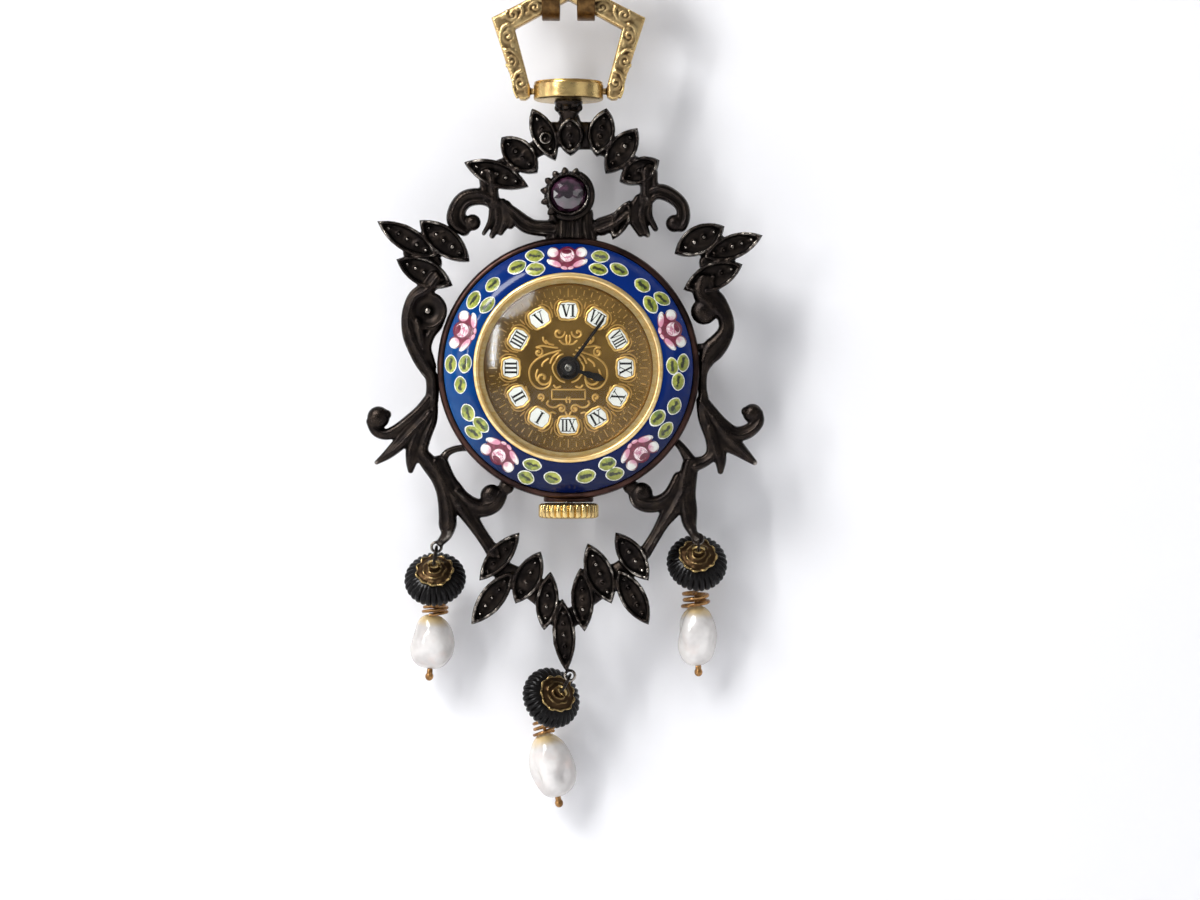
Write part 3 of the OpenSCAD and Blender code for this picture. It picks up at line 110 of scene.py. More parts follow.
# Leaves: tip, other tip and width
CREST_LEAVES = [[[0.2, 25.2], [0.2, 21.3], 2.6], [[-3.65, 26.0], [-1.3, 20.8], 2.5],
    [[-6.7, 23.1], [-3.1, 19.6], 3.0], [[-10.45, 20.6], [-4.0, 18.2], 2.6],
    [[3.8, 26.0], [2.8, 21.2], 2.7], [[6.9, 24.0], [3.7, 19.5], 2.8],
    [[9.1, 20.8], [5.1, 18.7], 2.6]]
PLAIN_LEAVES = [[[6.1, 16.8], [4.4, 12.9], 1.8]]
WREATH_LEAVES = [[[-19.1, 14.7], [-13.0, 11.1], 2.5], [[-14.9, 14.8], [-9.9, 10.7], 2.9],
    [[-17.2, 10.9], [-11.6, 8.3], 2.8], [[19.4, 13.3], [13.4, 11.0], 2.5],
    [[15.6, 14.2], [10.6, 11.5], 2.9], [[17.4, 10.4], [11.5, 7.9], 2.8],
    [[-4.9, -16.4], [-8.9, -21.2], 2.3], [[-9.7, -25.6], [-5.5, -20.2], 2.5],
    [[-2.8, -18.3], [-5.3, -23.5], 2.7], [[-1.8, -20.3], [-2.45, -26.2], 2.3],
    [[-0.65, -23.0], [-0.2, -30.3], 2.3], [[1.2, -19.9], [1.6, -26.3], 2.3],
    [[1.9, -17.5], [4.3, -23.5], 2.8], [[8.0, -25.6], [4.9, -20.0], 2.6],
    [[4.7, -16.4], [8.0, -21.2], 2.6]]

# Scrolls, stems and fingers: points with a width
CREST_BARS = [[[-8.1, 19.2, 1.8], [-7.8, 17.0, 1.8]],
    [[-7.2, 16.4, 1.2], [-8.05, 16.95, 1.5], [-9.05, 17.2, 1.7], [-10.25, 16.95, 1.8],
        [-11.05, 16.05, 1.8], [-11.2, 14.8, 2.0], [-10.5, 13.95, 1.4]],
    [[-7.6, 16.5, 0.7], [-7.8, 14.8, 0.6], [-8.5, 13.5, 0.4]],
    [[-7.2, 16.6, 0.9], [-7.0, 14.8, 0.9], [-7.65, 13.3, 0.6]],
    [[-6.6, 16.6, 0.9], [-6.2, 15.0, 1.0], [-6.8, 13.6, 0.6]],
    [[-6.2, 16.4, 0.9], [-5.5, 15.2, 1.1], [-5.8, 14.3, 0.7]],
    [[-6.6, 16.4, 1.0], [-5.4, 15.4, 1.4], [-4.4, 14.5, 1.7], [-3.4, 14.1, 1.6], [-1.8, 14.0, 1.7]],
    [[8.05, 19.6, 1.8], [8.05, 17.4, 1.8]],
    [[7.6, 16.7, 1.2], [8.2, 17.4, 1.4], [9.2, 17.7, 1.6], [10.4, 17.2, 1.5],
        [11.3, 16.3, 1.4], [11.5, 15.2, 1.4], [11.2, 14.4, 1.5]],
    [[7.0, 17.0, 0.9], [6.4, 15.3, 1.1], [7.2, 13.5, 0.7]],
    [[7.7, 17.2, 0.8], [7.3, 15.3, 0.9], [7.9, 13.4, 0.6]],
    [[8.1, 17.0, 0.7], [8.1, 15.3, 0.7], [8.7, 14.0, 0.6]],
    [[6.6, 16.4, 1.0], [4.8, 14.9, 1.6], [3.3, 14.2, 1.9]],
    [[-1.7, 12.9, 1.3], [-1.3, 14.2, 1.1], [-1.5, 15.3, 1.0]],
    [[-0.4, 12.9, 1.3], [-0.3, 15.4, 1.2]], [[0.9, 12.9, 1.3], [0.8, 15.4, 1.2]],
    [[2.2, 12.9, 1.4], [1.9, 14.2, 1.2], [1.9, 15.5, 1.2]]]
LEFT_BARS = [[[-13.4, 9.0, 1.7], [-14.2, 8.0, 1.6], [-15.4, 7.2, 1.3], [-16.0, 5.9, 1.2],
        [-16.15, 4.6, 1.2], [-15.9, 3.3, 1.4], [-15.4, 2.1, 1.5], [-14.8, 1.0, 1.6],
        [-14.2, 0.0, 1.5], [-13.7, -0.9, 1.3], [-13.6, -2.1, 1.3], [-13.7, -3.2, 1.4]],
    [[-12.6, 5.4, 0.7], [-13.0, 4.4, 0.9], [-13.8, 3.4, 1.0], [-14.2, 2.2, 1.0],
        [-14.1, 1.2, 1.2], [-13.8, 0.2, 1.2]],
    [[-15.2, 4.6, 1.2], [-15.0, 3.2, 1.6], [-14.7, 1.8, 1.2]],
    [[-13.85, -3.1, 1.3], [-14.85, -4.25, 1.2], [-16.05, -5.35, 1.3], [-17.25, -6.25, 1.3],
        [-18.35, -6.6, 1.1], [-19.3, -6.25, 1.0], [-19.8, -5.3, 0.9]],
    [[-14.0, -4.4, 1.2], [-15.5, -6.0, 1.6], [-16.9, -7.5, 1.4], [-18.1, -8.6, 1.0],
        [-19.2, -9.4, 0.45]],
    [[-13.8, -4.7, 1.4], [-14.8, -6.4, 1.6], [-15.4, -8.0, 1.7], [-15.7, -9.3, 1.2],
        [-15.8, -10.2, 0.6]],
    [[-13.5, -3.4, 0.9], [-13.7, -5.1, 1.2], [-14.4, -6.8, 1.4], [-14.7, -8.3, 1.4],
        [-14.0, -9.4, 1.7], [-12.9, -10.8, 1.9], [-12.3, -12.2, 1.9]],
    [[-12.9, -9.6, 1.9], [-12.2, -11.2, 1.9], [-11.3, -12.5, 2.0], [-10.4, -13.9, 2.0],
        [-9.5, -15.4, 1.5], [-8.5, -16.9, 1.3], [-7.5, -18.4, 1.4]],
    [[-13.3, -10.1, 1.3], [-12.7, -11.7, 1.4], [-12.3, -13.2, 1.6], [-12.1, -14.7, 1.8],
        [-12.1, -15.7, 1.8], [-12.2, -16.6, 1.2], [-12.8, -17.4, 0.8]],
    [[-12.7, -9.4, 1.0], [-12.2, -8.5, 0.8], [-11.3, -8.05, 0.7], [-10.0, -7.9, 0.7]],
    [[-11.1, -12.6, 1.6], [-9.9, -13.6, 1.8], [-8.6, -14.0, 1.8], [-7.4, -13.6, 1.6],
        [-6.8, -12.7, 1.4]]]
RIGHT_BARS = [[[13.6, 8.4, 2.2], [13.6, 7.4, 2.3], [14.6, 6.6, 2.4], [15.5, 5.5, 1.7],
        [15.8, 4.5, 1.6], [15.7, 3.6, 1.7], [15.1, 2.6, 2.1], [14.3, 1.7, 2.3],
        [13.75, 0.7, 1.6], [13.45, -0.4, 1.0], [13.4, -1.8, 0.9], [13.5, -3.1, 1.1]],
    [[13.7, 2.1, 0.9], [12.9, 2.1, 0.8]],
    [[13.4, -3.2, 1.2], [14.4, -4.5, 1.3], [15.4, -5.7, 1.5], [16.6, -6.5, 1.5],
        [17.9, -6.3, 1.5], [18.9, -5.4, 1.3], [18.95, -4.5, 1.1]],
    [[14.6, -5.4, 2.0], [15.9, -7.1, 2.2], [17.3, -8.3, 1.4], [18.6, -9.4, 0.6]],
    [[14.4, -6.1, 1.8], [14.9, -7.8, 1.7], [15.2, -9.2, 1.2], [15.2, -10.3, 0.6]],
    [[13.2, -3.2, 0.9], [13.6, -5.0, 1.3], [14.3, -7.0, 1.3], [14.4, -8.4, 1.3],
        [13.7, -9.2, 1.2], [12.6, -9.6, 1.5]],
    [[12.2, -9.6, 1.7], [11.9, -11.2, 1.9], [11.8, -12.7, 1.9], [12.0, -14.2, 1.8],
        [12.1, -15.4, 1.5], [12.4, -16.3, 1.0], [12.8, -17.0, 0.8]],
    [[11.4, -12.0, 2.0], [10.4, -13.9, 2.0], [9.5, -15.3, 1.4], [8.7, -16.7, 1.2],
        [7.6, -18.5, 1.3]],
    [[11.0, -10.9, 1.2], [10.2, -12.5, 1.3], [9.2, -13.4, 1.6], [8.0, -13.6, 1.7],
        [7.0, -13.3, 1.5], [6.6, -12.6, 1.3]],
    [[10.6, -7.1, 0.7], [11.4, -8.0, 0.9], [12.2, -9.3, 1.3]]]
# Low joints between neighbouring leaves
CREST_WEBS = [[[-1.9, 23.5, 2.4], [0, 23.4, 2.6]], [[0.6, 23.3, 2.8], [2.8, 23.3, 2.8]],
    [[-4.0, 21.6, 1.7], [-2.4, 22.4, 1.8]], [[-6.8, 20.3, 1.4], [-4.8, 20.7, 1.5]],
    [[3.4, 22.2, 1.9], [4.9, 22.0, 1.9]], [[5.4, 20.9, 1.7], [7.1, 20.3, 1.6]],
    [[0.15, 23.6, 2.4], [0.1, 24.8, 2.2]]]
WREATH_WEBS = [[[-15.8, 11.6, 1.3], [-13.6, 10.6, 1.6]], [[-15.0, 12.6, 1.2], [-12.8, 13.4, 1.2]],
    [[14.0, 10.6, 1.6], [16.0, 10.9, 1.2]], [[13.0, 12.4, 1.2], [15.2, 12.6, 1.2]],
    [[-7.0, -20.0, 1.6], [-4.2, -21.3, 1.8]], [[-4.2, -21.6, 1.8], [-2.2, -23.2, 1.8]],
    [[-2.2, -24.2, 1.6], [-0.4, -25.4, 1.6]], [[-0.4, -25.4, 1.6], [1.4, -24.2, 1.6]],
    [[1.4, -23.2, 1.8], [3.6, -21.6, 1.8]], [[3.6, -21.2, 1.8], [6.4, -19.6, 1.7]]]
# Round knobs: middle and radius
CREST_KNOBS = [[[-9.6, 14.6], 0.85], [[10.6, 14.5], 0.9]]
WREATH_KNOBS = [[[13.55, 5.7], 1.35], [[14.45, 6.1], 0.9], [[-19.0, -4.9], 1.15], [[-18.2, -4.6], 0.5],
    [[18.4, -4.5], 1.0], [[17.75, -4.3], 0.5], [[-7.7, -12.7], 1.15], [[-6.2, -11.8], 0.8],
    [[7.3, -12.5], 1.15], [[6.2, -11.8], 0.8]]
CUP = ((-14.05, 5.75), 1.95)

# Drops, from left to right: the frame's eye, the link's radius, tilt and swing, how far the bead's
# lower loop and the pearl's loop are turned, and how the bead and the pearl hang
SIDES = ("left", "centre", "right")
EYE_AT = [(-13.2, -17.85), (0.15, -30.7), (12.95, -17.05)]
LINK_R = [0.9, 0.93, 0.6]
LINK_LEAN = [(15, -9), (20, -27), (25, 4)]
UNDER_TURN = (0, 70, 0)
PEARL_TURN = (0, 30, 0)
BEAD_LEAN = [(53, 0), (57, -51), (58, -4)]
PEARL_LEAN = [-5, 11, 2]
# From the loop to the pearl, and the pearl's width and length
NECK = [1.7, 2.7, 2.8]
PEARL_D = [4.6, 4.9, 4.5]
PEARL_LEN = [6.2, 7.0, 6.5]
# Wire wound over a pearl: height, turns, width at the top and its growth, lean, and radius
COIL_H = [0.8, 1.3, 1.3]
COIL_TURNS = [2.3, 2.7, 2.4]
COIL_WIDE = [(0.95, 0.4), (0.85, 0.4), (1.15, 0.2)]
COIL_LEAN = [0.16, 0.1, 0.04]
COIL_WIRE_R = [0.17, 0.17, 0.21]
# Link wire and loops, and the bead with its cap
WIRE_R = 0.15
LOOP_R = 0.55
LOOP_DROP = 0.02
CAP_H = 0.45
BEAD_H = 3.0
BEAD_MID = LOOP_DROP + LOOP_R + WIRE_R + CAP_H + BEAD_H / 2
UNDER_LOOP = BEAD_H / 2 + 0.2 + LOOP_R

# Stage, in metres: the wall and the floor, how far they reach, and how the paper shines by itself
WALL_Y = 0.0055
FLOOR_Z = -0.125
PAPER_REACH = 0.6
PAPER_GLOW = 0.04
# Lamps: place from the watch's middle, size and power; and how much longer than wide the strip is
LAMPS = {"key_lamp": ((-0.3, -0.38, 0.39), 0.24, 2.85), "side_lamp": ((-0.42, -0.14, 0.04), 0.16, 0.2),
         "fill_lamp": ((0.4, -0.42, 0.1), 0.4, 0.27), "back_lamp": ((0.15, 0.5, 0.3), 0.4, 0.8),
         "top_lamp": ((0.05, 0.05, 0.5), 0.3, 0.5), "strip_lamp": ((-0.315, -0.35, 0.11), 0.02, 0.5)}
STRIP_LONG = 9
WATCH_MIDDLE = (0.003, 0, -0.008)
SKY = (0.93, 0.95, 1.0)
SKY_LEVEL = 0.23
# Camera: how far it stands from the dial, and its sensor
CAMERA_MM = 300.0
SENSOR_MM = 36


def linear(red, green, blue):
    """A colour of 0 to 255 as the photograph has it, as the renderer counts it."""
    parts = [c / 255 for c in (red, green, blue)]
    return tuple(c / 12.92 if c <= 0.04045 else ((c + 0.055) / 1.055) ** 2.4 for c in parts)


# Shapes

def world(points):
    """Face points in millimetres as places in the frame, in metres."""
    p = np.asarray(points, float)
    return np.stack([p[:, 0], -p[:, 2], p[:, 1]], 1) * MM + DIAL


def from_pixel(px, py):
    """The face point that a pixel of the photograph shows."""
    return (px - DIAL_PIXEL[0]) / PIXELS_PER_MM, (DIAL_PIXEL[1] - py) / PIXELS_PER_MM


def unit(v):
    return v / np.maximum(np.linalg.norm(v, axis=-1, keepdims=True), 1e-9)


def angles(steps):
    """Even angles all the way round."""
    return np.linspace(0, 2 * math.pi, steps, endpoint=False)


def polar(radius, angle):
    """Flat points at a radius and an angle in radians."""
    return np.stack([radius * np.cos(angle), radius * np.sin(angle)], -1)


def lifted(xy, z):
    """Flat points at a height."""
    return np.column_stack([xy, np.broadcast_to(z, len(xy))])


def mirrored(half):
    """A closed outline from the half of it that runs down from the middle and back to it."""
    return half + [(-x, y) for x, y in half[-2:0:-1]]


def turned_2d(points, degrees):
    c, s = math.cos(math.radians(degrees)), math.sin(math.radians(degrees))
    p = np.asarray(points, float)
    return np.stack([p[:, 0] * c - p[:, 1] * s, p[:, 0] * s + p[:, 1] * c], 1)


def leaned(points, at, tilt, swing):
    """Tilted about x, then swung about z, then moved to its place."""
    p = np.asarray(points, float)
    yz = turned_2d(p[:, 1:], tilt)
    xy = turned_2d(np.column_stack([p[:, 0], yz[:, 0]]), swing)
    return np.column_stack([xy, yz[:, 1]]) + np.asarray(at, float)


def spun(points, degrees):
    """Turned about y."""
    p = np.asarray(points, float)
    xz = turned_2d(p[:, [0, 2]], -degrees)
    return np.column_stack([xz[:, 0], p[:, 1], xz[:, 1]])


def ends(rows, cols):
    """Faces over the first and the last row of points."""
    last = (rows - 1) * cols
    return [tuple(range(cols - 1, -1, -1)), tuple(range(last, last + cols))]


def net(rows, cols, loop=False):
    """Four-sided faces between closed rows of points, and over both ends unless it is a loop."""
    faces = []
    for i in range(rows if loop else rows - 1):
        below, above = i * cols, (i + 1) % rows * cols
        for j in range(cols):
            k = (j + 1) % cols
            faces.append((below + j, below + k, above + k, above + j))
    return faces if loop else faces + ends(rows, cols)


def curve(points, steps=5):
    """A smooth line through given points."""
    p = np.array(points, float)
    n = len(p) - 1
    out = []
    for i in range(n):
        a, b, c, d = p[max(i - 1, 0)], p[i], p[i + 1], p[min(i + 2, n)]
        for j in range(steps):
            t = j / steps
            out.append(0.5 * (2 * b + (c - a) * t + (2 * a - 5 * b + 4 * c - d) * t * t
                              + (3 * b - a - 3 * c + d) * t ** 3))
    return np.array(out + [p[n]])


def round_ends(path, sizes):
    """A path and its half widths, with both ends drawn out to a round tip."""
    p = np.asarray(path, float)
    r = np.array(np.broadcast_to(sizes, len(p)), float)
    t = np.array([0.45, 0.75, 0.92, 0.995])
    shrink = np.sqrt(1 - t * t)
    first = p[0] - unit(p[1] - p[0]) * r[0] * t[:, None]
    last = p[-1] + unit(p[-1] - p[-2]) * r[-1] * t[:, None]
    return (np.concatenate([first[::-1], p, last]),
            np.concatenate([r[0] * shrink[::-1], r, r[-1] * shrink]))


class Shape:
    """Points and faces of one piece, with marks on the points that its finish reads."""

    def __init__(self):
        self.points, self.faces, self.marks, self.count = [], [], {}, 0

    def add(self, points, faces, **marks):
        self.faces += [tuple(i + self.count for i in face) for face in faces]
        self.points.append(points)
        for key, value in marks.items():
            self.marks.setdefault(key, []).append((self.count, np.broadcast_to(value, len(points))))
        self.count += len(points)

    def skin(self, rows, loop=False, **marks):
        """A skin over closed rows of points; a loop joins the last row to the first."""
        self.add(np.concatenate(rows), net(len(rows), len(rows[0]), loop), **marks)

    def moved(self, move):
        """Puts all points so far through a move."""
        self.points = [move(p) for p in self.points]

    def tube(self, path, radius, sides=8, loop=False, flat=1.0, **marks):
        p = np.asarray(path, float)
        if loop:
            r = np.broadcast_to(radius, len(p))
            along = unit(np.roll(p, -1, 0) - np.roll(p, 1, 0))
        else:
            p, r = round_ends(p, radius)
            along = unit(np.gradient(p, axis=0))
        up = np.array([0, 0, 1.0]) if abs(along[0][2]) < 0.9 else np.array([1.0, 0, 0])
        ups = []
        for d in along:
            up = unit(up - d * (up @ d))
            ups.append(up)
        ups = np.array(ups)
        across = np.cross(along, ups)
        strands = [p + r[:, None] * (across * math.cos(a) + flat * ups * math.sin(a)) for a in angles(sides)]
        self.skin(np.stack(strands, 1), loop, **marks)

    def lathe(self, profile, steps=96, axis="z", loop=False, flute=None, at=(0, 0, 0)):
        """Turns a profile of radius and height round z or y; flute changes the radius."""
        around = angles(steps)
        rows = []
        for radius, height in profile:
            r = radius * np.ones(steps) if flute is None else flute(around, radius)
            x, y, h = r * np.cos(around), r * np.sin(around), np.full(steps, float(height))
            rows.append(np.stack([x, y, h] if axis == "z" else [x, h, -y], 1) + at)
        self.skin(rows, loop)

    def slab(self, outline, z0, z1, bevel=0.0):
        """A flat plate with that outline; bevel draws its front edge in."""
        p = np.asarray(outline, float)
        along = unit(np.roll(p, -1, 0) - np.roll(p, 1, 0))
        inward = np.stack([-along[:, 1], along[:, 0]], 1)
        area = np.sum(p[:, 0] * np.roll(p[:, 1], -1) - p[:, 1] * np.roll(p[:, 0], -1))
        inset = p + inward * bevel * (1 if area > 0 else -1)
        levels = [(p, z0), (p, z1 - bevel), (inset, z1)] if bevel else [(p, z0), (p, z1)]
        self.skin([lifted(q, z) for q, z in levels])

    def ball(self, at, radius, sides=12, squash=(1, 1, 1), **marks):
        tip = math.pi / 2 - 0.05
        rows = [[(math.cos(a) * math.cos(b), math.cos(a) * math.sin(b), math.sin(a)) for b in angles(sides)]
                for a in np.linspace(-tip, tip, max(sides // 2, 4))]
        self.skin(np.array(rows) * radius * np.asarray(squash) + np.asarray(at, float), **marks)

    def mesh(self, name):
        """The shape as a mesh, still in millimetres."""
        mesh = bpy.data.meshes.new(name)
        points = np.concatenate(self.points)
        mesh.from_pydata(points.tolist(), [], self.faces)
        for key, parts in self.marks.items():
            values = np.zeros(len(points), np.float32)
            for start, part in parts:
                values[start:start + len(part)] = part
            mesh.attributes.new(key, "FLOAT", "POINT").data.foreach_set("value", values)
        mesh.update()
        return mesh


def read(items, key, kind=float, size=3):
    """One value of all a mesh's points or edges, as rows."""
    values = np.empty(len(items) * size, kind)
    items.foreach_get(key, values)
    return values.reshape(-1, size)


def placed(name, data):
    """A new object of some data, in the scene."""
    made = bpy.data.objects.new(name, data)
    bpy.context.scene.collection.objects.link(made)
    return made


def spread(values, edges, times):
    """Evens out values over a mesh by its edges."""
    n = len(values)
    count = np.maximum(np.bincount(edges.ravel(), minlength=n), 1)[:, None]
    for _ in range(times):
        total = np.stack([np.bincount(edges[:, 0], values[edges[:, 1], k], n)
                          + np.bincount(edges[:, 1], values[edges[:, 0], k], n)
                          for k in range(values.shape[1])], 1)
        values = 0.5 * values + 0.5 * total / count
    return values


def melted(mesh, voxel):
    """Melts overlapping solids into one skin, and marks how far each point stands out."""
    holder = placed(mesh.name + "_pattern", mesh)
    melt = holder.modifiers.new("Melt", "REMESH")
    melt.mode = "VOXEL"
    melt.voxel_size = voxel
    graph = bpy.context.evaluated_depsgraph_get()
    skin = bpy.data.meshes.new_from_object(holder.evaluated_get(graph))
    bpy.data.objects.remove(holder)
    edges = read(skin.edges, "vertices", int, 2)
    points = spread(read(skin.vertices, "co"), edges, 1)
    skin.vertices.foreach_set("co", points.ravel())
    skin.update()
    proud = np.sum((points - spread(points, edges, 9)) * read(skin.vertices, "normal"), 1, keepdims=True)
    raised = np.clip(0.5 + spread(proud, edges, 2)[:, 0] / (0.9 * voxel), 0, 1)
    skin.attributes.new("raised", "FLOAT", "POINT").data.foreach_set("value", raised.astype(np.float32))
    return skin


def piece(name, shape, body, finish, nodes=(), voxel=None, sharp=40.0):
    """Makes an object of a shape, in its finish, riding on its body in place of CAD nodes."""
    mesh = shape.mesh(name)
    if voxel:
        mesh = melted(mesh, voxel)
    else:
        faces = bmesh.new()
        faces.from_mesh(mesh)
        bmesh.ops.recalc_face_normals(faces, faces=faces.faces)
        faces.to_mesh(mesh)
        faces.free()
    mesh.vertices.foreach_set("co", world(read(mesh.vertices, "co")).ravel())
    mesh.name = name
    mesh.validate()
    mesh.update()
    mesh.shade_smooth()
    if not voxel:
        mesh.set_sharp_from_angle(angle=math.radians(sharp))
    mesh.materials.append(finish)
    made = placed(name, mesh)
    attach(made, body)
    if nodes:
        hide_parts(*nodes)


# Finishes

class Wire:
    """An output of a finish's nodes, so that sums on it read as plain arithmetic."""

    def __init__(self, finish, socket):
        self.finish, self.socket = finish, socket

    def beside(self, name):
        """Another output of the same node."""
        return Wire(self.finish, self.socket.node.outputs[name])

    def sum(self, operation, first, second):
        return self.finish.node("Math", {0: first, 1: second}, operation=operation)

    def __add__(self, other):
        return self.sum("ADD", self, other)

    def __radd__(self, other):
        return self.sum("ADD", other, self)

    def __sub__(self, other):
        return self.sum("SUBTRACT", self, other)

    def __rsub__(self, other):
        return self.sum("SUBTRACT", other, self)

    def __mul__(self, other):
        return self.sum("MULTIPLY", self, other)

    def __rmul__(self, other):
        return self.sum("MULTIPLY", other, self)

    def __or__(self, other):
        """The larger of two values, for either of two conditions."""
        return self.sum("MAXIMUM", self, other)


class Finish:
    """A material that is built one node at a time."""

    def __init__(self, name, **sockets):
        self.material = bpy.data.materials.new(name)
        self.material.use_nodes = True
        self.tree = self.material.node_tree
        self.surface = self.tree.nodes["Principled BSDF"]
        self.at = self.node("TexCoord", out="Object")
        self.set(**sockets)

    def node(self, kind, sockets=None, out=0, **settings):
        """Adds a node: its settings first, then the values or links of its sockets."""
        node = self.tree.nodes.new("ShaderNode" + kind)
        for key, value in settings.items():
            setattr(node, key, value)
        for key, value in (sockets or {}).items():
            self.feed(node.inputs[key], value)
        return Wire(self, node.outputs[out])

    def feed(self, socket, value):
        if isinstance(value, Wire):
            self.tree.links.new(value.socket, socket)
        elif hasattr(value, "__len__") and len(value) == 3 and socket.type == "RGBA":
            socket.default_value = (*value, 1)
        else:
            socket.default_value = value

    def set(self, **sockets):
        """Sets the surface's sockets; an underscore stands for a space."""
        for key, value in sockets.items():
            self.feed(self.surface.inputs[key.replace("_", " ")], value)

    def show(self, shader):
        """Puts another shader in the surface's place."""
        self.feed(self.tree.nodes["Material Output"].inputs["Surface"], shader)

    def done(self, colour, rough, relief, depth):
        """Sets the colour, the roughness and a relief of that depth, and gives the material."""
        self.set(Base_Color=colour, Roughness=rough, Normal=self.bump(relief, depth))
        return self.material

    def noise(self, per_mm, detail=3.0, roughness=0.55, at=None):
        return self.node("TexNoise", {"Vector": at or self.at, "Scale": per_mm / MM, "Detail": detail,
                                      "Roughness": roughness})

    def stretched(self, x, y, z):
        """Places squeezed along each axis, for a grain that runs one way."""
        return self.node("Mapping", {"Vector": self.at, "Scale": (x, y, z)})

    def mark(self, name):
        return self.node("Attribute", out="Fac", attribute_name=name)

    def step(self, value, low, high):
        """From 0 at low to 1 at high, eased at both ends."""
        return self.node("MapRange", {"Value": value, "From Min": low, "From Max": high}, "Result",
                         interpolation_type="SMOOTHSTEP")

    def span(self, value, low, high):
        """Spreads a value of 0 to 1 between two numbers."""
        return self.node("MapRange", {"Value": value, "To Min": low, "To Max": high}, "Result")

    def mix(self, factor, first, second):
        return self.node("Mix", {0: factor, 6: first, 7: second}, 2, data_type="RGBA")

    def bump(self, height, depth):
        """Small relief of that depth in millimetres."""
        return self.node("Bump", {"Height": height, "Distance": depth * MM, "Strength": 1.0}, "Normal")


def cast_silver(looks):
    """Blackened cast silver, worn bright here and there along whatever stands out."""
    f = Finish("blackened_silver", Metallic=1.0)
    raised, grime, pits, rubbed = f.mark("raised"), f.noise(0.9, 4), f.noise(5.0, 3, 0.6), f.noise(0.5, 3)
    worn = f.step(raised + 1.3 * (rubbed - 0.5) + 0.15 * (pits - 0.5), 0.88, 1.3)
    dark = f.mix(f.step(grime, 0.35, 0.7), looks.silver_dark, linear(50, 43, 38))
    hollow = f.mix(f.step(raised, 0.15, 0.5), linear(15, 13, 12), dark)
    return f.done(f.mix(worn, hollow, looks.silver_worn),
                  f.span(f.step(raised + 0.4 * (pits - 0.5), 0.1, 0.9), 0.42, 0.22),
                  0.6 * pits + 0.4 * f.noise(14.0, 2), 0.04)


def old_gold(looks, name="engraved_gold", dull=0.0):
    """Engraved gold, brown in its hollows and bright on what stands out."""
    f = Finish(name, Metallic=1.0)
    raised, grime, fine = f.mark("raised"), f.noise(1.1, 4), f.noise(7.0, 3, 0.6)
    depth = f.step(raised + 0.3 * (grime - 0.5), 0.25 + 0.2 * dull, 0.66 + 0.2 * dull)
    body = f.mix(f.step(grime, 0.3, 0.75), looks.gold_old, linear(212, 186, 134))
    body = f.mix(f.step(raised + 0.15 * (fine - 0.5), 0.66, 0.96), body, looks.gold_bright)
    body = f.mix(0.65 * dull, body, linear(84, 66, 40))
    return f.done(f.mix(depth, linear(62, 46, 30), body),
                  f.span(f.step(raised + 0.5 * (fine - 0.5), 0.1, 0.9), 0.46, 0.25), fine, 0.03)


def plain_gold(looks, name, shade, rough):
    """Smooth gold with fine polishing lines and faint stains."""
    f = Finish(name, Metallic=1.0)
    stain, lines = f.noise(0.6, 4), f.noise(2.5, 3, 0.6, f.stretched(0.35, 1, 1))
    colour = f.mix(f.step(stain, 0.35 - 0.2 * shade, 0.8), looks.gold_bright, looks.gold_old)
    return f.done(f.mix(shade, colour, linear(122, 84, 44)), f.span(lines, rough * 0.7, rough * 1.5),
                  lines, 0.012)


def brown_metal(looks):
    """The case's oxidised metal, copper brown with darker clouds."""
    f = Finish("oxidised_case_metal", Metallic=1.0)
    cloud, fine = f.noise(0.35, 5, 0.6), f.noise(4.0, 3)
    return f.done(f.mix(f.step(cloud, 0.35, 0.68), looks.case_brown, linear(38, 29, 28)),
                  f.span(fine, 0.26, 0.42), fine, 0.012)


def enamel_blue(looks):
    """Clear blue enamel over metal, paler to the left as painted light and darker at the bottom as painted
    shade.
    """
    f = Finish("blue_enamel", Coat_Weight=0.2, Coat_Roughness=0.05, Specular_IOR_Level=0.12)
    across = f.node("SeparateXYZ", {0: f.at}, "X")
    # Painted light: a paler blue on the ring's left side, towards the key lamp, broken up by a noise.
    left = f.step(0 - across, 2 * MM, 13 * MM)
    # Painted shade: a deeper blue towards the ring's bottom.
    low = f.step(DIAL[2] - across.beside("Z"), -4 * MM, 12 * MM)
    cloud = f.noise(0.3, 3)
    deep = f.mix(low, looks.enamel_blue, looks.enamel_painted_shade)
    pale = f.mix(f.step(left * (0.35 + 0.9 * cloud), 0.2, 1.1), deep, linear(4, 76, 136))
    return f.done(pale, f.span(f.noise(2.5, 2), 0.12, 0.22), f.noise(0.5, 2), 0.05)


def painted_leaf(looks):
    """A brushed enamel leaf: thin white rim, yellow green body and dark brush marks."""
    f = Finish("painted_leaf", Coat_Weight=0.4)
    edge, across, along = f.mark("edge"), f.mark("across"), f.mark("along")
    brush = f.noise(2.4, 3, 0.7)
    green = f.mix(f.step(brush + 0.25 * along, 0.3, 0.75), linear(128, 136, 40), looks.leaf_green)
    green = f.mix(f.step(f.noise(1.3, 2), 0.5, 0.66), green, linear(96, 116, 52))
    wave = across + 0.9 * (brush - 0.5) + 0.2 * along
    vein = (1 - f.step(wave * wave, 0.01, 0.085)) * f.step(0.74 - edge, 0.0, 0.25)
    body = f.mix(vein, green, linear(34, 38, 18))
    return f.done(f.mix(f.step(edge + 0.3 * (brush - 0.5), 0.8, 0.93), body, looks.paint_white),
                  0.3, brush, 0.04)


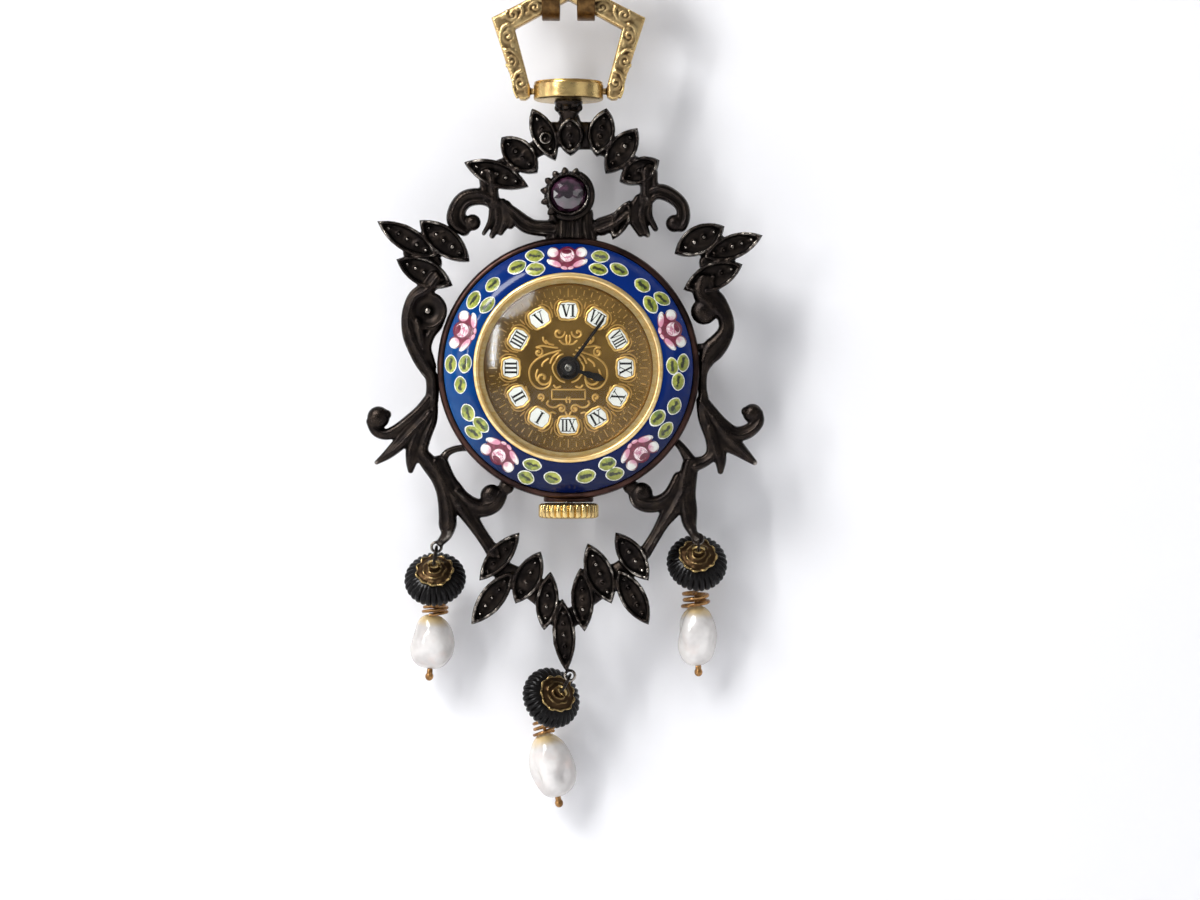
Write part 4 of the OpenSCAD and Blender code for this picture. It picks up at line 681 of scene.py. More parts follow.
def painted_rose(looks):
    """Brushed enamel petals: pink by the heart and white outside, with wine red lines near the heart.

    The tone is 0 for such a petal, a little more for a pinker one, 1 for the pale ball inside
    a red rim and 2 for the red heart."""
    f = Finish("painted_rose", Coat_Weight=0.4)
    edge, tone, far = f.mark("edge"), f.mark("tone"), f.mark("far")
    brush = f.noise(2.6, 3, 0.75)
    petal = f.mix(f.step(far + 1.2 * (brush - 0.5) - 1.2 * tone, 0.95, 1.6), looks.rose_pink,
                  looks.paint_white)
    ball = f.mix(f.step(brush, 0.34, 0.6), linear(186, 104, 132), linear(248, 234, 234))
    inner = f.step(tone, 0.3, 0.7)
    petal = f.mix(inner, petal, ball)
    rim = f.step(edge + 0.25 * (brush - 0.5), 0.68, 0.8) * inner
    line = f.step(edge + 0.2 * (brush - 0.5), 0.68, 0.82) * f.step(2.05 - far, 0.0, 0.4)
    red = f.mix(f.step(brush, 0.4, 0.7), looks.rose_heart, linear(132, 38, 66))
    return f.done(f.mix(rim + line + f.step(tone, 1.4, 1.7), petal, red), 0.3, brush, 0.04)


def dial_gold(looks):
    """Stamped and grained golden brown, with a painted highlight that lightens the stamped pattern."""
    f = Finish("stamped_dial_gold", Metallic=0.9)
    raised, grain, cloud = f.mark("raised"), f.noise(9.0, 2, 0.6), f.noise(0.35, 3)
    ground = f.mix(f.step(cloud, 0.3, 0.7), looks.dial_gold, linear(112, 84, 42))
    # Painted highlight: the stamped lines and beads get a lighter gold than the ground.
    return f.done(f.mix(f.step(raised, 0.4, 0.9), ground, linear(218, 176, 102)),
                  f.span(grain, 0.3, 0.48), grain, 0.02)


def gloss(name, colour, other, rough, per_mm=1.2, depth=0.01, coat=0.0):
    """A smooth coated surface with slight clouds in its colour and gloss."""
    f = Finish(name, Coat_Weight=coat, Specular_IOR_Level=0.2)
    cloud = f.noise(per_mm, 3)
    return f.done(f.mix(f.step(cloud, 0.3, 0.7), colour, other), f.span(cloud, rough * 0.8, rough * 1.25),
                  cloud, depth)


def metal(name, colour, other, rough, per_mm=3.0, depth=0.01, grain=(1, 1, 1)):
    """Bare metal with a grain that may run one way."""
    f = Finish(name, Metallic=1.0)
    lines = f.noise(per_mm, 3, 0.6, f.stretched(*grain))
    return f.done(f.mix(f.step(lines, 0.3, 0.7), linear(*colour), linear(*other)),
                  f.span(lines, rough * 0.7, rough * 1.4), lines, depth)


def clear_glass():
    """Thin glass that shows what is under it and mirrors the light."""
    f = Finish("watch_glass", Base_Color=(0.9, 0.95, 0.95), Roughness=0.03)
    mirror = f.node("BsdfAnisotropic", {"Roughness": 0.1, "Color": (1, 1, 1)})
    through = f.node("BsdfTransparent", {"Color": (0.98, 0.99, 0.98)})
    facing = f.node("Fresnel", {"IOR": 1.4})
    smear = f.step(f.noise(0.25, 3), 0.3, 0.8)
    f.show(f.node("MixShader", {0: facing * (0.25 + 0.35 * smear), 1: through, 2: mirror}))
    return f.material


def violet_glass(looks):
    """Cut violet stone: a cell pattern paints lighter facets with dark wine between them, as painted light
    and shade, and a noise lays pale milky clouds over it.
    """
    f = Finish("violet_stone_glass", Coat_Weight=1.0, Coat_Roughness=0.03, Roughness=0.06, IOR=1.6,
               Specular_IOR_Level=0.8)
    spark = f.node("TexVoronoi", {"Vector": f.at, "Scale": 1.3 / MM}, "Distance")
    cloud = f.noise(1.1, 3)
    # Painted light and shade: each cell is lit in its middle and dark wine towards its edges.
    colour = f.mix(f.step(spark + 0.3 * cloud, 0.35, 0.8), looks.stone_violet, linear(26, 12, 22))
    f.set(Base_Color=f.mix(f.step(cloud, 0.6, 0.78), colour, linear(116, 88, 104)))
    return f.material


def black_glass(looks):
    """Fluted black bead whose raised ribs are painted a little lighter, a painted highlight mottled by a
    noise.
    """
    f = Finish("fluted_black_bead", Coat_Weight=0.16, Coat_Roughness=0.05, Specular_IOR_Level=0.06)
    raised, mottle = f.mark("raised"), f.noise(2.0, 3)
    # Painted highlight: a lighter black on the raised ribs.
    return f.done(f.mix(f.step(raised + 0.3 * mottle, 0.7, 1.3), looks.bead_black, linear(22, 19, 18)),
                  f.span(mottle, 0.2, 0.4), f.noise(4.0, 2), 0.03)


def nacre(looks):
    """White pearl with a cream top, painted greyer towards its outline as seen, a painted shade."""
    f = Finish("baroque_pearl", Coat_Weight=0.5, Coat_Roughness=0.1, Specular_IOR_Level=0.6)
    crown, cloud = f.mark("crown"), f.noise(0.28, 3)
    skin = f.mix(f.step(cloud, 0.35, 0.65), looks.pearl_white, linear(192, 188, 186))
    tinted = f.mix(f.step(f.noise(0.5, 2), 0.5, 0.8), skin, linear(212, 198, 192))
    # Painted shade: a greyer beige that grows towards the outline as seen.
    grazing = f.node("LayerWeight", {"Blend": 0.35}, "Facing")
    skin = f.mix(0.6 * grazing, tinted, linear(186, 178, 166))
    return f.done(f.mix(f.step(crown + 0.3 * (cloud - 0.5), 0.5, 1.0), skin, linear(206, 180, 128)),
                  f.span(f.noise(0.8, 3), 0.14, 0.3), f.noise(1.0, 2), 0.08)


def paper(looks):
    """The pale floor and backdrop. Lamps behind it reach the object, and its back isn't seen."""
    f = Finish("pale_paper", Specular_IOR_Level=0.1)
    f.done(f.mix(f.noise(0.05, 3), looks.backdrop, linear(237, 237, 239)), 0.9, f.noise(1.5, 3), 0.01)
    camera = f.node("LightPath", out="Is Camera Ray")
    seen = camera | camera.beside("Is Glossy Ray") | camera.beside("Is Transmission Ray")
    glow = f.node("Emission", {"Color": looks.backdrop, "Strength": 1.0})
    lit = f.node("MixShader", {0: PAPER_GLOW * seen, 1: Wire(f, f.surface.outputs[0]), 2: glow})
    hidden = f.node("NewGeometry", out="Backfacing") | camera.beside("Is Shadow Ray")
    f.show(f.node("MixShader", {0: hidden, 1: lit, 2: f.node("BsdfTransparent")}))
    return f.material


def dress(finish, *nodes):
    """Gives CAD nodes their finish."""
    for node in nodes:
        mesh = frame["nodes"][node].data
        mesh.materials.clear()
        mesh.materials.append(finish)


def colour(name, description, *rgb):
    return FloatVectorProperty(name=name, description=description, default=linear(*rgb), size=3,
                               min=0, max=1, subtype="COLOR")


def length(name, description, default, low, high):
    return FloatProperty(name=name, description=description, default=default, min=low, max=high,
                         precision=5, unit="LENGTH")


class WatchLooks(bpy.types.PropertyGroup):
    """Sizes and colours of the brooch watch's visible pieces."""

    silver_dark: colour("Blackened silver", "Ground colour of the cast frame", 34, 30, 29)
    silver_worn: colour("Worn silver", "Colour of the frame's rubbed edges", 178, 170, 160)
    gold_bright: colour("Bright gold", "Polished gold and the tops of the engraving", 228, 200, 134)
    gold_old: colour("Old gold", "Dull gold between the engraved lines", 188, 156, 106)
    case_brown: colour("Case brown", "Oxidised metal of the case", 74, 52, 46)
    enamel_blue: colour("Enamel blue", "Blue of the enamel ring", 2, 36, 104)
    # Painted shade: the deeper blue laid on the enamel ring's lower part.
    enamel_painted_shade: colour("Deep enamel", "Blue of the ring's lower part", 2, 16, 60)
    leaf_green: colour("Leaf green", "Green of the painted leaves", 176, 180, 76)
    paint_white: colour("Painted white", "White rims of leaves and petals", 238, 238, 230)
    rose_pink: colour("Rose pink", "Pink of the painted petals", 208, 138, 160)
    rose_heart: colour("Rose heart", "Wine red of the roses' hearts", 92, 18, 40)
    dial_gold: colour("Dial gold", "Champagne gold of the dial", 134, 102, 52)
    numeral_black: colour("Numeral black", "Black of the numerals", 22, 20, 22)
    hand_black: colour("Hand black", "Black of the hands", 24, 22, 24)
    stone_violet: colour("Stone violet", "Colour of the violet stone", 72, 40, 60)
    bead_black: colour("Bead black", "Colour of the fluted beads", 12, 10, 10)
    pearl_white: colour("Pearl white", "Colour of the pearls", 224, 221, 218)
    backdrop: colour("Backdrop", "Colour of the floor and the backdrop", 239, 239, 241)
    cast_grain: length("Casting grain", "Finest detail of the cast pieces", 0.0001, 0.00006, 0.0003)
    seed_size: length("Seed size", "Radius of the grains on a leaf", 0.00018, 0.0001, 0.0004)
    rim_size: length("Leaf rim", "Radius of the raised rim round a leaf", 0.00017, 0.0001, 0.0003)
    engraving: length("Engraving", "Height of the engraved scrolls on the gold", 0.00021, 0.0001, 0.0004)
    bead_flutes: IntProperty(name="Bead flutes", description="Flutes round a black bead",
                             default=30, min=16, max=40)
    crown_ribs: IntProperty(name="Crown ribs", description="Ribs round the crown", default=26, min=16, max=40)
    pearl_dents: FloatProperty(name="Pearl dents", description="How uneven the pearls are",
                               default=0.13, min=0, max=0.15, subtype="FACTOR")
    lamp_level: FloatProperty(name="Lamp level", description="Strength of the lamps",
                              default=1.0, min=0.2, max=3)


def looks_of(context):
    return context.scene.brooch_watch_looks


# The cast frame

def bar(shape, points, front=FRONT, low=-0.15, groove=0.0, off=0.0):
    """A cast bar with a rounded front and a flat back; a groove runs along where it is wide."""
    p = curve(points)
    xy, half = round_ends(p[:, :2], np.maximum(p[:, 2], 0.3) / 2)
    along = unit(np.gradient(xy, axis=0))
    across = np.stack([-along[:, 1], along[:, 0]], 1)
    height = np.minimum(front - low, 1.3 * half + 0.1)
    wide = np.clip((half - 0.4) / 0.3, 0, 1)
    strands = []
    for a in np.linspace(0, math.pi, 17):
        dip = groove * wide * math.exp(-((math.cos(a) - off) / 0.36) ** 2)
        strands.append(lifted(xy + across * (half * math.cos(a))[:, None],
                              low + height * (math.sin(a) ** 0.65 - dip)))
    strands += [lifted(xy + across * (0.94 * s * half)[:, None], -FRONT) for s in (-1, 1)]
    shape.skin(np.stack(strands, 1))


def lens(leaf, draw_in=0.0, steps=14):
    """Outline of a pointed leaf: its midline, its direction and its half widths."""
    a, b = np.array(leaf[0], float), np.array(leaf[1], float)
    u = (b - a) / np.linalg.norm(b - a)
    a, b = a + 2.2 * draw_in * u, b - 2.2 * draw_in * u
    long, high = np.linalg.norm(b - a) / 2, leaf[2] / 2 - draw_in
    r = (long * long + high * high) / (2 * high)
    s = np.sin(np.linspace(-math.pi / 2, math.pi / 2, steps))
    half = np.maximum(np.sqrt(np.maximum(r * r - (long * s) ** 2, 0)) - (r - high), 0.02)
    return (a + b) / 2 + np.outer(s, u) * long, u, half


def cast_leaf(shape, leaf, looks, chance, seeds=True, cup=False):
    """A pointed leaf: a sunk face inside a raised rim, with a row of small seeds."""
    middle, u, half = lens(leaf)
    across = np.array([-u[1], u[0]])
    strands = []
    for f in (-1, -0.9, -0.7, -0.4, -0.12, 0, 0.12, 0.4, 0.7, 0.9, 1):
        top = LEAF_FACE - 0.12 * (1 - abs(f)) + (0.06 if abs(f) < 0.05 else 0)
        strands.append(lifted(middle + np.outer(half * f, across), top))
    strands += [lifted(middle + np.outer(half * s, across), -FRONT) for s in (0.96, -0.96)]
    shape.skin(np.stack(strands, 1))
    rim_r = looks.rim_size / MM
    middle, u, half = lens(leaf, rim_r, 20)
    edge = np.concatenate([middle + np.outer(half, across), (middle - np.outer(half, across))[::-1]])
    wander = np.array([0.055 * chance.uniform(-1, 1) for _ in edge])
    shape.tube(lifted(edge, LEAF_RIM + wander), rim_r + 0.6 * wander, 8, loop=True, flat=1.25)
    if not seeds:
        shape.tube(lifted(middle[2:-2], LEAF_FACE), 0.12, 6)
        return
    start, end = np.array(leaf[0]), np.array(leaf[1])
    n = max(2, round(np.linalg.norm(end - start) / SEED_STEP))
    for k in range(n):
        s = (k + 0.5) / n * 0.76 + 0.12
        at = start * (1 - s) + end * s
        wide = leaf[2] / 2 * (1 - (2 * s - 1) ** 2)
        size = looks.seed_size / MM * (0.75 + 0.5 * wide) * chance.uniform(0.85, 1.15)
        shape.ball((at[0] + 0.06 * chance.uniform(-1, 1), at[1], LEAF_FACE), size, 10)
    if cup:
        shape.tube(lifted(start * 0.42 + end * 0.58 + polar(0.5, angles(20)), 0.62), 0.14, 8, loop=True)


def cast_knob(shape, at, radius):
    shape.ball((*at, 0), radius, 20, (1, 1, min(1, 0.88 / radius)))
    shape.lathe([(radius * 0.9, -FRONT), (radius * 0.9, 0)], 20, at=(*at, 0))


def cast_cup(shape, at, radius):
    """A curled leaf's hollow with a small knob in it."""
    shape.lathe([(radius * 0.86, -FRONT), (radius * 0.98, -0.1), (radius, 0.35), (radius * 0.93, 0.62),
                 (radius * 0.82, 0.6), (radius * 0.62, 0.3), (radius * 0.4, 0.12), (0.02, 0.08)], 40,
                at=(*at, 0))
    shape.ball((*at, 0.2), 0.42, 12)


class FrameOperator(bpy.types.Operator):
    """Casts the openwork frame with its leaves, scrolls and knobs."""

    bl_idname = "brooch_watch.frame"
    bl_label = "Openwork frame"

    def execute(self, context):
        looks = looks_of(context)
        silver = cast_silver(looks)
        chance = random.Random(11)
        grain = looks.cast_grain / MM
        crest = Shape()
        for k, leaf in enumerate(CREST_LEAVES):
            cast_leaf(crest, leaf, looks, chance, cup=(k == 1))
        for leaf in PLAIN_LEAVES:
            cast_leaf(crest, leaf, looks, chance, seeds=False)
        for k, points in enumerate(CREST_BARS):
            bar(crest, points, groove=0.34, off=0.25 if k % 2 else -0.15)
        for points in CREST_WEBS:
            bar(crest, points, front=LEAF_FACE, low=-0.3)
        for at, radius in CREST_KNOBS:
            cast_knob(crest, at, radius)
        piece("crest_casting", crest, "watch", silver, ["frame_crest"], grain)
        wreath = Shape()
        for leaf in WREATH_LEAVES:
            cast_leaf(wreath, leaf, looks, chance)
        for k, points in enumerate(LEFT_BARS + RIGHT_BARS):
            bar(wreath, points, groove=0.26, off=0.3 if k % 2 else -0.3)
        for points in WREATH_WEBS:
            bar(wreath, [(x, y, 1.2 * w) for x, y, w in points], front=LEAF_FACE, low=-0.3)
        cast_cup(wreath, *CUP)
        for at, radius in WREATH_KNOBS:
            cast_knob(wreath, at, radius)
        for eye in EYE_AT:
            wreath.tube(lifted(np.array(eye) + polar(0.5, angles(24)), 0), 0.16, 8, loop=True)
        piece("wreath_casting", wreath, "watch", silver, ["frame_wreath"], grain)
        return {"FINISHED"}


class StoneOperator(bpy.types.Operator):
    """Cuts the violet stone and casts its beaded setting."""

    bl_idname = "brooch_watch.stone"
    bl_label = "Violet stone"

    def execute(self, context):
        looks = looks_of(context)
        chance = random.Random(3)
        cup = Shape()
        cup.lathe([(2.0, 0.2), (2.35, 0.45), (2.45, 0.7), (2.2, 0.95), (2.1, 1.5), (2.12, 2.2),
                   (1.98, 2.42), (1.86, 2.36), (1.84, 1.9), (1.84, 1.2), (0.3, 1.2), (0.3, 0.2)],
                  96, loop=True)
        for angle in (72, 98, 122, 145, 170, 196, 224):
            for out, size in ((2.2, 0.46), (2.42, 0.36), (2.64, 0.22)):
                cup.ball((*polar(out, math.radians(angle)), 1.25), size * chance.uniform(0.9, 1.1), 10)
        a = np.radians(np.linspace(-110, 60, 24))
        cup.tube(lifted(polar(2.28, a), 1.1 + 0.2 * np.sin(3 * a)), 0.4, 10)
        for a in angles(46):
            cup.ball((*polar(2.0, a), 2.36), 0.1 * chance.uniform(0.8, 1.2), 8)
        cup.moved(lambda p: p + np.array([0, STONE_Y, 0]))
        piece("beaded_setting", cup, "watch", cast_silver(looks), ["stone_collet"],
              0.8 * looks.cast_grain / MM)
        stone = Shape()
        facets = 12
        rows = []
        for radius, height, turn in ((1.82, 1.55, 0), (1.82, 2.0, 0), (1.5, 2.42, 0.5), (1.0, 2.72, 0),
                                     (0.5, 2.86, 0.5)):
            a = (np.arange(facets) + turn) * 2 * math.pi / facets
            rows.append(lifted(polar(radius, a) + (0, STONE_Y), height))
        faces = []
        for i in range(len(rows) - 1):
            for j in range(facets):
                a, b = i * facets + j, i * facets + (j + 1) % facets
                c, d = a + facets, b + facets
                faces += [(a, b, c), (b, d, c)] if i % 2 or i == 0 else [(a, b, d), (a, d, c)]
        stone.add(np.concatenate(rows), faces + ends(len(rows), facets))
        piece("cut_violet_stone", stone, "watch", violet_glass(looks), ["violet_stone"],
              sharp=8)
        return {"FINISHED"}


# Case, enamel and glass

def glaze(radius):
    """Height of the enamel's surface at a radius."""
    t = np.clip((ENAMEL_R - np.asarray(radius, float)) / (ENAMEL_R - ENAMEL_IN), 0, 1)
    return ENAMEL_LOW + (ENAMEL_HIGH - ENAMEL_LOW) * np.sin(math.pi / 2 * t)


def painted(shape, at, long, wide, angle, lift, point=1.0, about=(0, 0), **marks):
    """A brushed patch that lies on the enamel, a little proud in its middle."""
    rings, around = 9, 30
    t = np.linspace(0.03, 1, rings)[:, None]
    a = angles(around)[None, :]
    x = (t * np.cos(a) * long / 2).ravel()
    y = (t * np.sign(np.sin(a)) * np.abs(np.sin(a)) ** point * wide / 2).ravel()
    xy = turned_2d(np.stack([x, y], 1), angle) + np.asarray(at)
    edge = (t * np.ones_like(a)).ravel()
    z = glaze(np.hypot(*xy.T)) + lift * (1 - edge ** 6) - 0.012 * edge ** 6
    shape.add(lifted(xy, z), net(rings, around)[:-1], edge=edge, across=y / (wide / 2), along=x / (long / 2),
              far=np.hypot(*(xy - np.asarray(about)).T), **marks)


# One rose: middle, length, width, lean, height and tone of each petal
ROSE = [(-0.95, 0.0, 1.6, 1.9, 20, 0.016, 2), (0.95, 0.0, 1.6, 1.9, -20, 0.016, 2),
    (0, -0.5, 2.4, 1.15, 0, 0.016, 2),
    (-1.36, 0.5, 1.3, 1.25, 24, 0.03, 0), (1.36, 0.5, 1.3, 1.25, -24, 0.03, 0),
    (-1.22, -0.62, 1.8, 0.74, -24, 0.042, 0.2), (1.22, -0.62, 1.8, 0.74, 24, 0.042, 0.2),
    (-0.3, -1.08, 0.85, 0.42, -14, 0.048, 0), (0.35, -1.08, 0.75, 0.4, 14, 0.048, 0),
    (0, 0.22, 1.95, 1.9, 0, 0.055, 1), (-0.08, 0.42, 1.35, 1.2, 12, 0.07, 1),
    (-0.05, 0.58, 1.2, 0.66, 0, 0.085, 2), (0.05, 0.0, 0.9, 0.2, 6, 0.09, 0)]


class CaseOperator(bpy.types.Operator):
    """Turns the case band with the crown's neck, the case back and the gold ring."""

    bl_idname = "brooch_watch.case"
    bl_label = "Case"

    def execute(self, context):
        looks = looks_of(context)
        band = Shape()
        band.lathe([(12.42, 0.3), (12.43, 1.22), (12.5, 1.3), (12.68, 1.31), (12.9, 1.2), (13.04, 0.98),
                    (13.1, 0.7), (13.02, 0.45), (13.06, 0.2), (13.06, -1.9), (13.02, -2.1), (13.1, -2.3),
                    (13.02, -2.5), (12.12, -2.5), (12.12, -0.4), (12.42, -0.2)], 256, loop=True)
        neck = Shape()
        neck.lathe([(2.4, 12.6), (2.5, 13.0), (2.5, 13.25), (2.4, 13.35), (0.85, 13.35), (0.85, 12.6)], 64,
                   axis="y", loop=True)
        x, y, z = neck.points[0].T
        band.add(np.column_stack([x, -y, np.clip(0.66 * z, -1.65, 1.65) + CROWN_Z]), neck.faces)
        piece("brown_case_band", band, "watch", brown_metal(looks), ["case_band"])
        back = Shape()
        back.lathe([(0.02, -4.6), (4.0, -4.6), (8.9, -4.58), (9.5, -4.54), (9.9, -4.4), (12.7, -2.75),
                    (13.0, -2.52), (11.95, -2.5), (11.95, -1.75), (11.6, -1.75), (11.6, -2.6), (9.2, -4.0),
                    (0.02, -4.0)], 192)
        silver = metal("case_back_silver", (150, 128, 108), (110, 92, 78), 0.32, 0.8, 0.02, (1, 1, 6))
        piece("snapped_back", back, "back", silver, ["case_back"])
        ring = Shape()
        ring.lathe([(8.42, 2.02), (8.42, 2.55), (8.84, 2.56), (8.84, 3.18), (8.88, 3.36), (8.97, 3.47),
                    (9.1, 3.5), (9.26, 3.45), (9.38, 3.33), (9.4, 3.1), (9.4, 1.05), (8.66, 1.05),
                    (8.66, 2.02)], 256, loop=True)
        gold = metal("ring_gold", (250, 222, 166), (232, 194, 124), 0.34, 2.5, 0.01, (0.35, 1, 1))
        piece("bezel_ring", ring, "watch", gold, ["gold_ring"])
        return {"FINISHED"}


class EnamelOperator(bpy.types.Operator):
    """Lays the blue enamel ring and paints its roses and leaves."""

    bl_idname = "brooch_watch.enamel"
    bl_label = "Enamel ring"

    def execute(self, context):
        looks = looks_of(context)
        surface = [(r, float(glaze(r))) for r in np.linspace(ENAMEL_R, ENAMEL_IN, 14)]
        ring = Shape()
        ring.lathe([(ENAMEL_IN, 1.02), (ENAMEL_R, 1.02)] + surface, 256, loop=True)
        piece("enamelled_ring", ring, "watch", enamel_blue(looks), ["enamel_ring"])
        leaves, roses = Shape(), Shape()
        chance = random.Random(5)
        for px, py, lean in LEAF_PIXELS:
            at = from_pixel(px, py)
            angle = math.degrees(math.atan2(at[1], at[0])) + 90 + lean
            painted(leaves, at, 1.98 * chance.uniform(0.93, 1.08), 1.36 * chance.uniform(0.93, 1.07), angle,
                    0.05, 1.2)
        piece("painted_leaves", leaves, "watch", painted_leaf(looks))
        for px, py in ROSE_PIXELS:
            at = from_pixel(px, py)
            angle = math.degrees(math.atan2(at[1], at[0])) - 90
            for x, y, long, wide, lean, lift, tone in ROSE:
                middle = at + turned_2d([(x, y)], angle)[0]
                painted(roses, middle, long, wide, angle + lean, lift, about=at, tone=tone)
        piece("painted_roses", roses, "watch", painted_rose(looks))
        return {"FINISHED"}


class GlassOperator(bpy.types.Operator):
    """Blows the domed glass over the dial."""

    bl_idname = "brooch_watch.glass"
    bl_label = "Glass"

    def execute(self, context):
        rise, wall = 1.8, 0.5
        radius = (CRYSTAL_R ** 2 + rise ** 2) / (2 * rise)
        reach = np.linspace(0.02, CRYSTAL_R - 0.12, 26)
        inner = np.linspace(0.02, CRYSTAL_R - wall, 26)
        low = 3.2 + rise - radius
        outside = [(r, low + math.sqrt(radius ** 2 - r * r)) for r in reach]
        inside = [(r, low + math.sqrt((radius - wall) ** 2 - r * r)) for r in inner]
        edge = [(CRYSTAL_R - wall, 2.57), (CRYSTAL_R, 2.57), (CRYSTAL_R, 3.12)]
        glass = Shape()
        glass.lathe(inside + edge + outside[::-1], 192)
        piece("domed_glass", glass, "watch", clear_glass(), ["crystal"])
        return {"FINISHED"}


# Dial and hands

NUMERAL_R = 5.7
NUMERALS = {90: "VI", 60: "VII", 30: "VIII", 0: "IX", -30: "X", -60: "XI", -90: "XII", -120: "I",
            -150: "II", 180: "III", 150: "IIII", 120: "V"}
# Strokes of each letter in a box one high: from, to and width; then the letter's width
LETTERS = {"I": ([((0, -0.5), (0, 0.5), 0.17)], 0.36),
           "V": ([((-0.27, 0.5), (0.02, -0.5), 0.17), ((0.28, 0.5), (0.02, -0.5), 0.07)], 0.74),
           "X": ([((-0.26, 0.5), (0.26, -0.5), 0.17), ((0.26, 0.5), (-0.26, -0.5), 0.07)], 0.72)}
SERIFS = {"I": [(0, 0.48), (0, -0.48)], "V": [(-0.27, 0.48), (0.27, 0.48)],
          "X": [(-0.26, 0.48), (0.26, 0.48), (-0.26, -0.48), (0.26, -0.48)]}
# The stamped scrolls of the right half: middle, radius at both ends, angles at both ends
SCROLLS = [((2.5, -1.0), 0.12, 0.82, 560, 170), ((2.95, 1.55), 0.08, 0.5, 480, 70),
           ((0.95, 3.5), 0.08, 0.62, 500, 175), ((2.75, -2.9), 0.08, 0.38, -120, 250),
           ((0.65, -4.05), 0.07, 0.42, 470, 60)]
STEMS = [[(1.7, -1.15), (1.9, -1.75), (2.5, -2.05), (3.2, -1.9), (3.75, -1.2), (3.85, -0.2), (3.4, 0.6),
          (2.4, 1.25), (0.8, 1.75)],
         [(0.15, 3.2), (0.2, 2.8), (0.1, 2.4)], [(0.1, 2.35), (0.5, 2.4), (0.85, 2.7)],
         [(3.15, 2.05), (2.6, 2.2), (1.9, 2.1), (1.1, 2.0)], [(2.2, 2.7), (1.9, 2.4), (1.5, 2.3)],
         [(2.5, 3.0), (2.45, 2.7), (2.2, 2.45)], [(0.55, 1.35), (0.9, 1.2), (1.2, 0.8)],
         [(1.0, 1.5), (1.5, 1.1), (1.8, 0.5)],
         [(1.3, 0.6), (1.55, 0.1), (1.4, -0.5), (0.9, -1.15), (0.4, -1.4)],
         [(2.0, 0.9), (2.5, 0.5), (2.6, 0.2)], [(3.05, -0.2), (3.2, -0.7), (3.1, -1.2)],
         [(3.9, -2.6), (4.1, -2.3), (4.2, -1.9)], [(0.15, -3.4), (0.2, -3.2), (0.12, -2.95)],
         [(0.85, -3.68), (1.3, -3.9), (1.8, -3.85), (2.1, -3.55), (2.0, -3.3)],
         [(0.25, -4.4), (0.1, -4.75), (0.3, -4.9)], [(1.3, -4.5), (1.6, -4.4), (1.9, -4.55)],
         [(1.4, -1.75), (1.2, -1.95), (0.8, -1.85)]]


def cartouche(grow=0.0):
    """Outline of a numeral's scalloped panel, wider along the ring than across it."""
    a = angles(56)
    oval = 1 / np.sqrt((np.cos(a) / (0.98 + grow)) ** 2 + (np.sin(a) / (0.84 + grow)) ** 2)
    return polar(oval * (1 + 0.06 * np.cos(4 * a + math.pi) + 0.035 * np.cos(8 * a)), a)


def curl(middle, first, last, start, end, steps=30):
    """A spiral line about its middle."""
    return middle + polar(np.linspace(first, last, steps), np.radians(np.linspace(start, end, steps)))


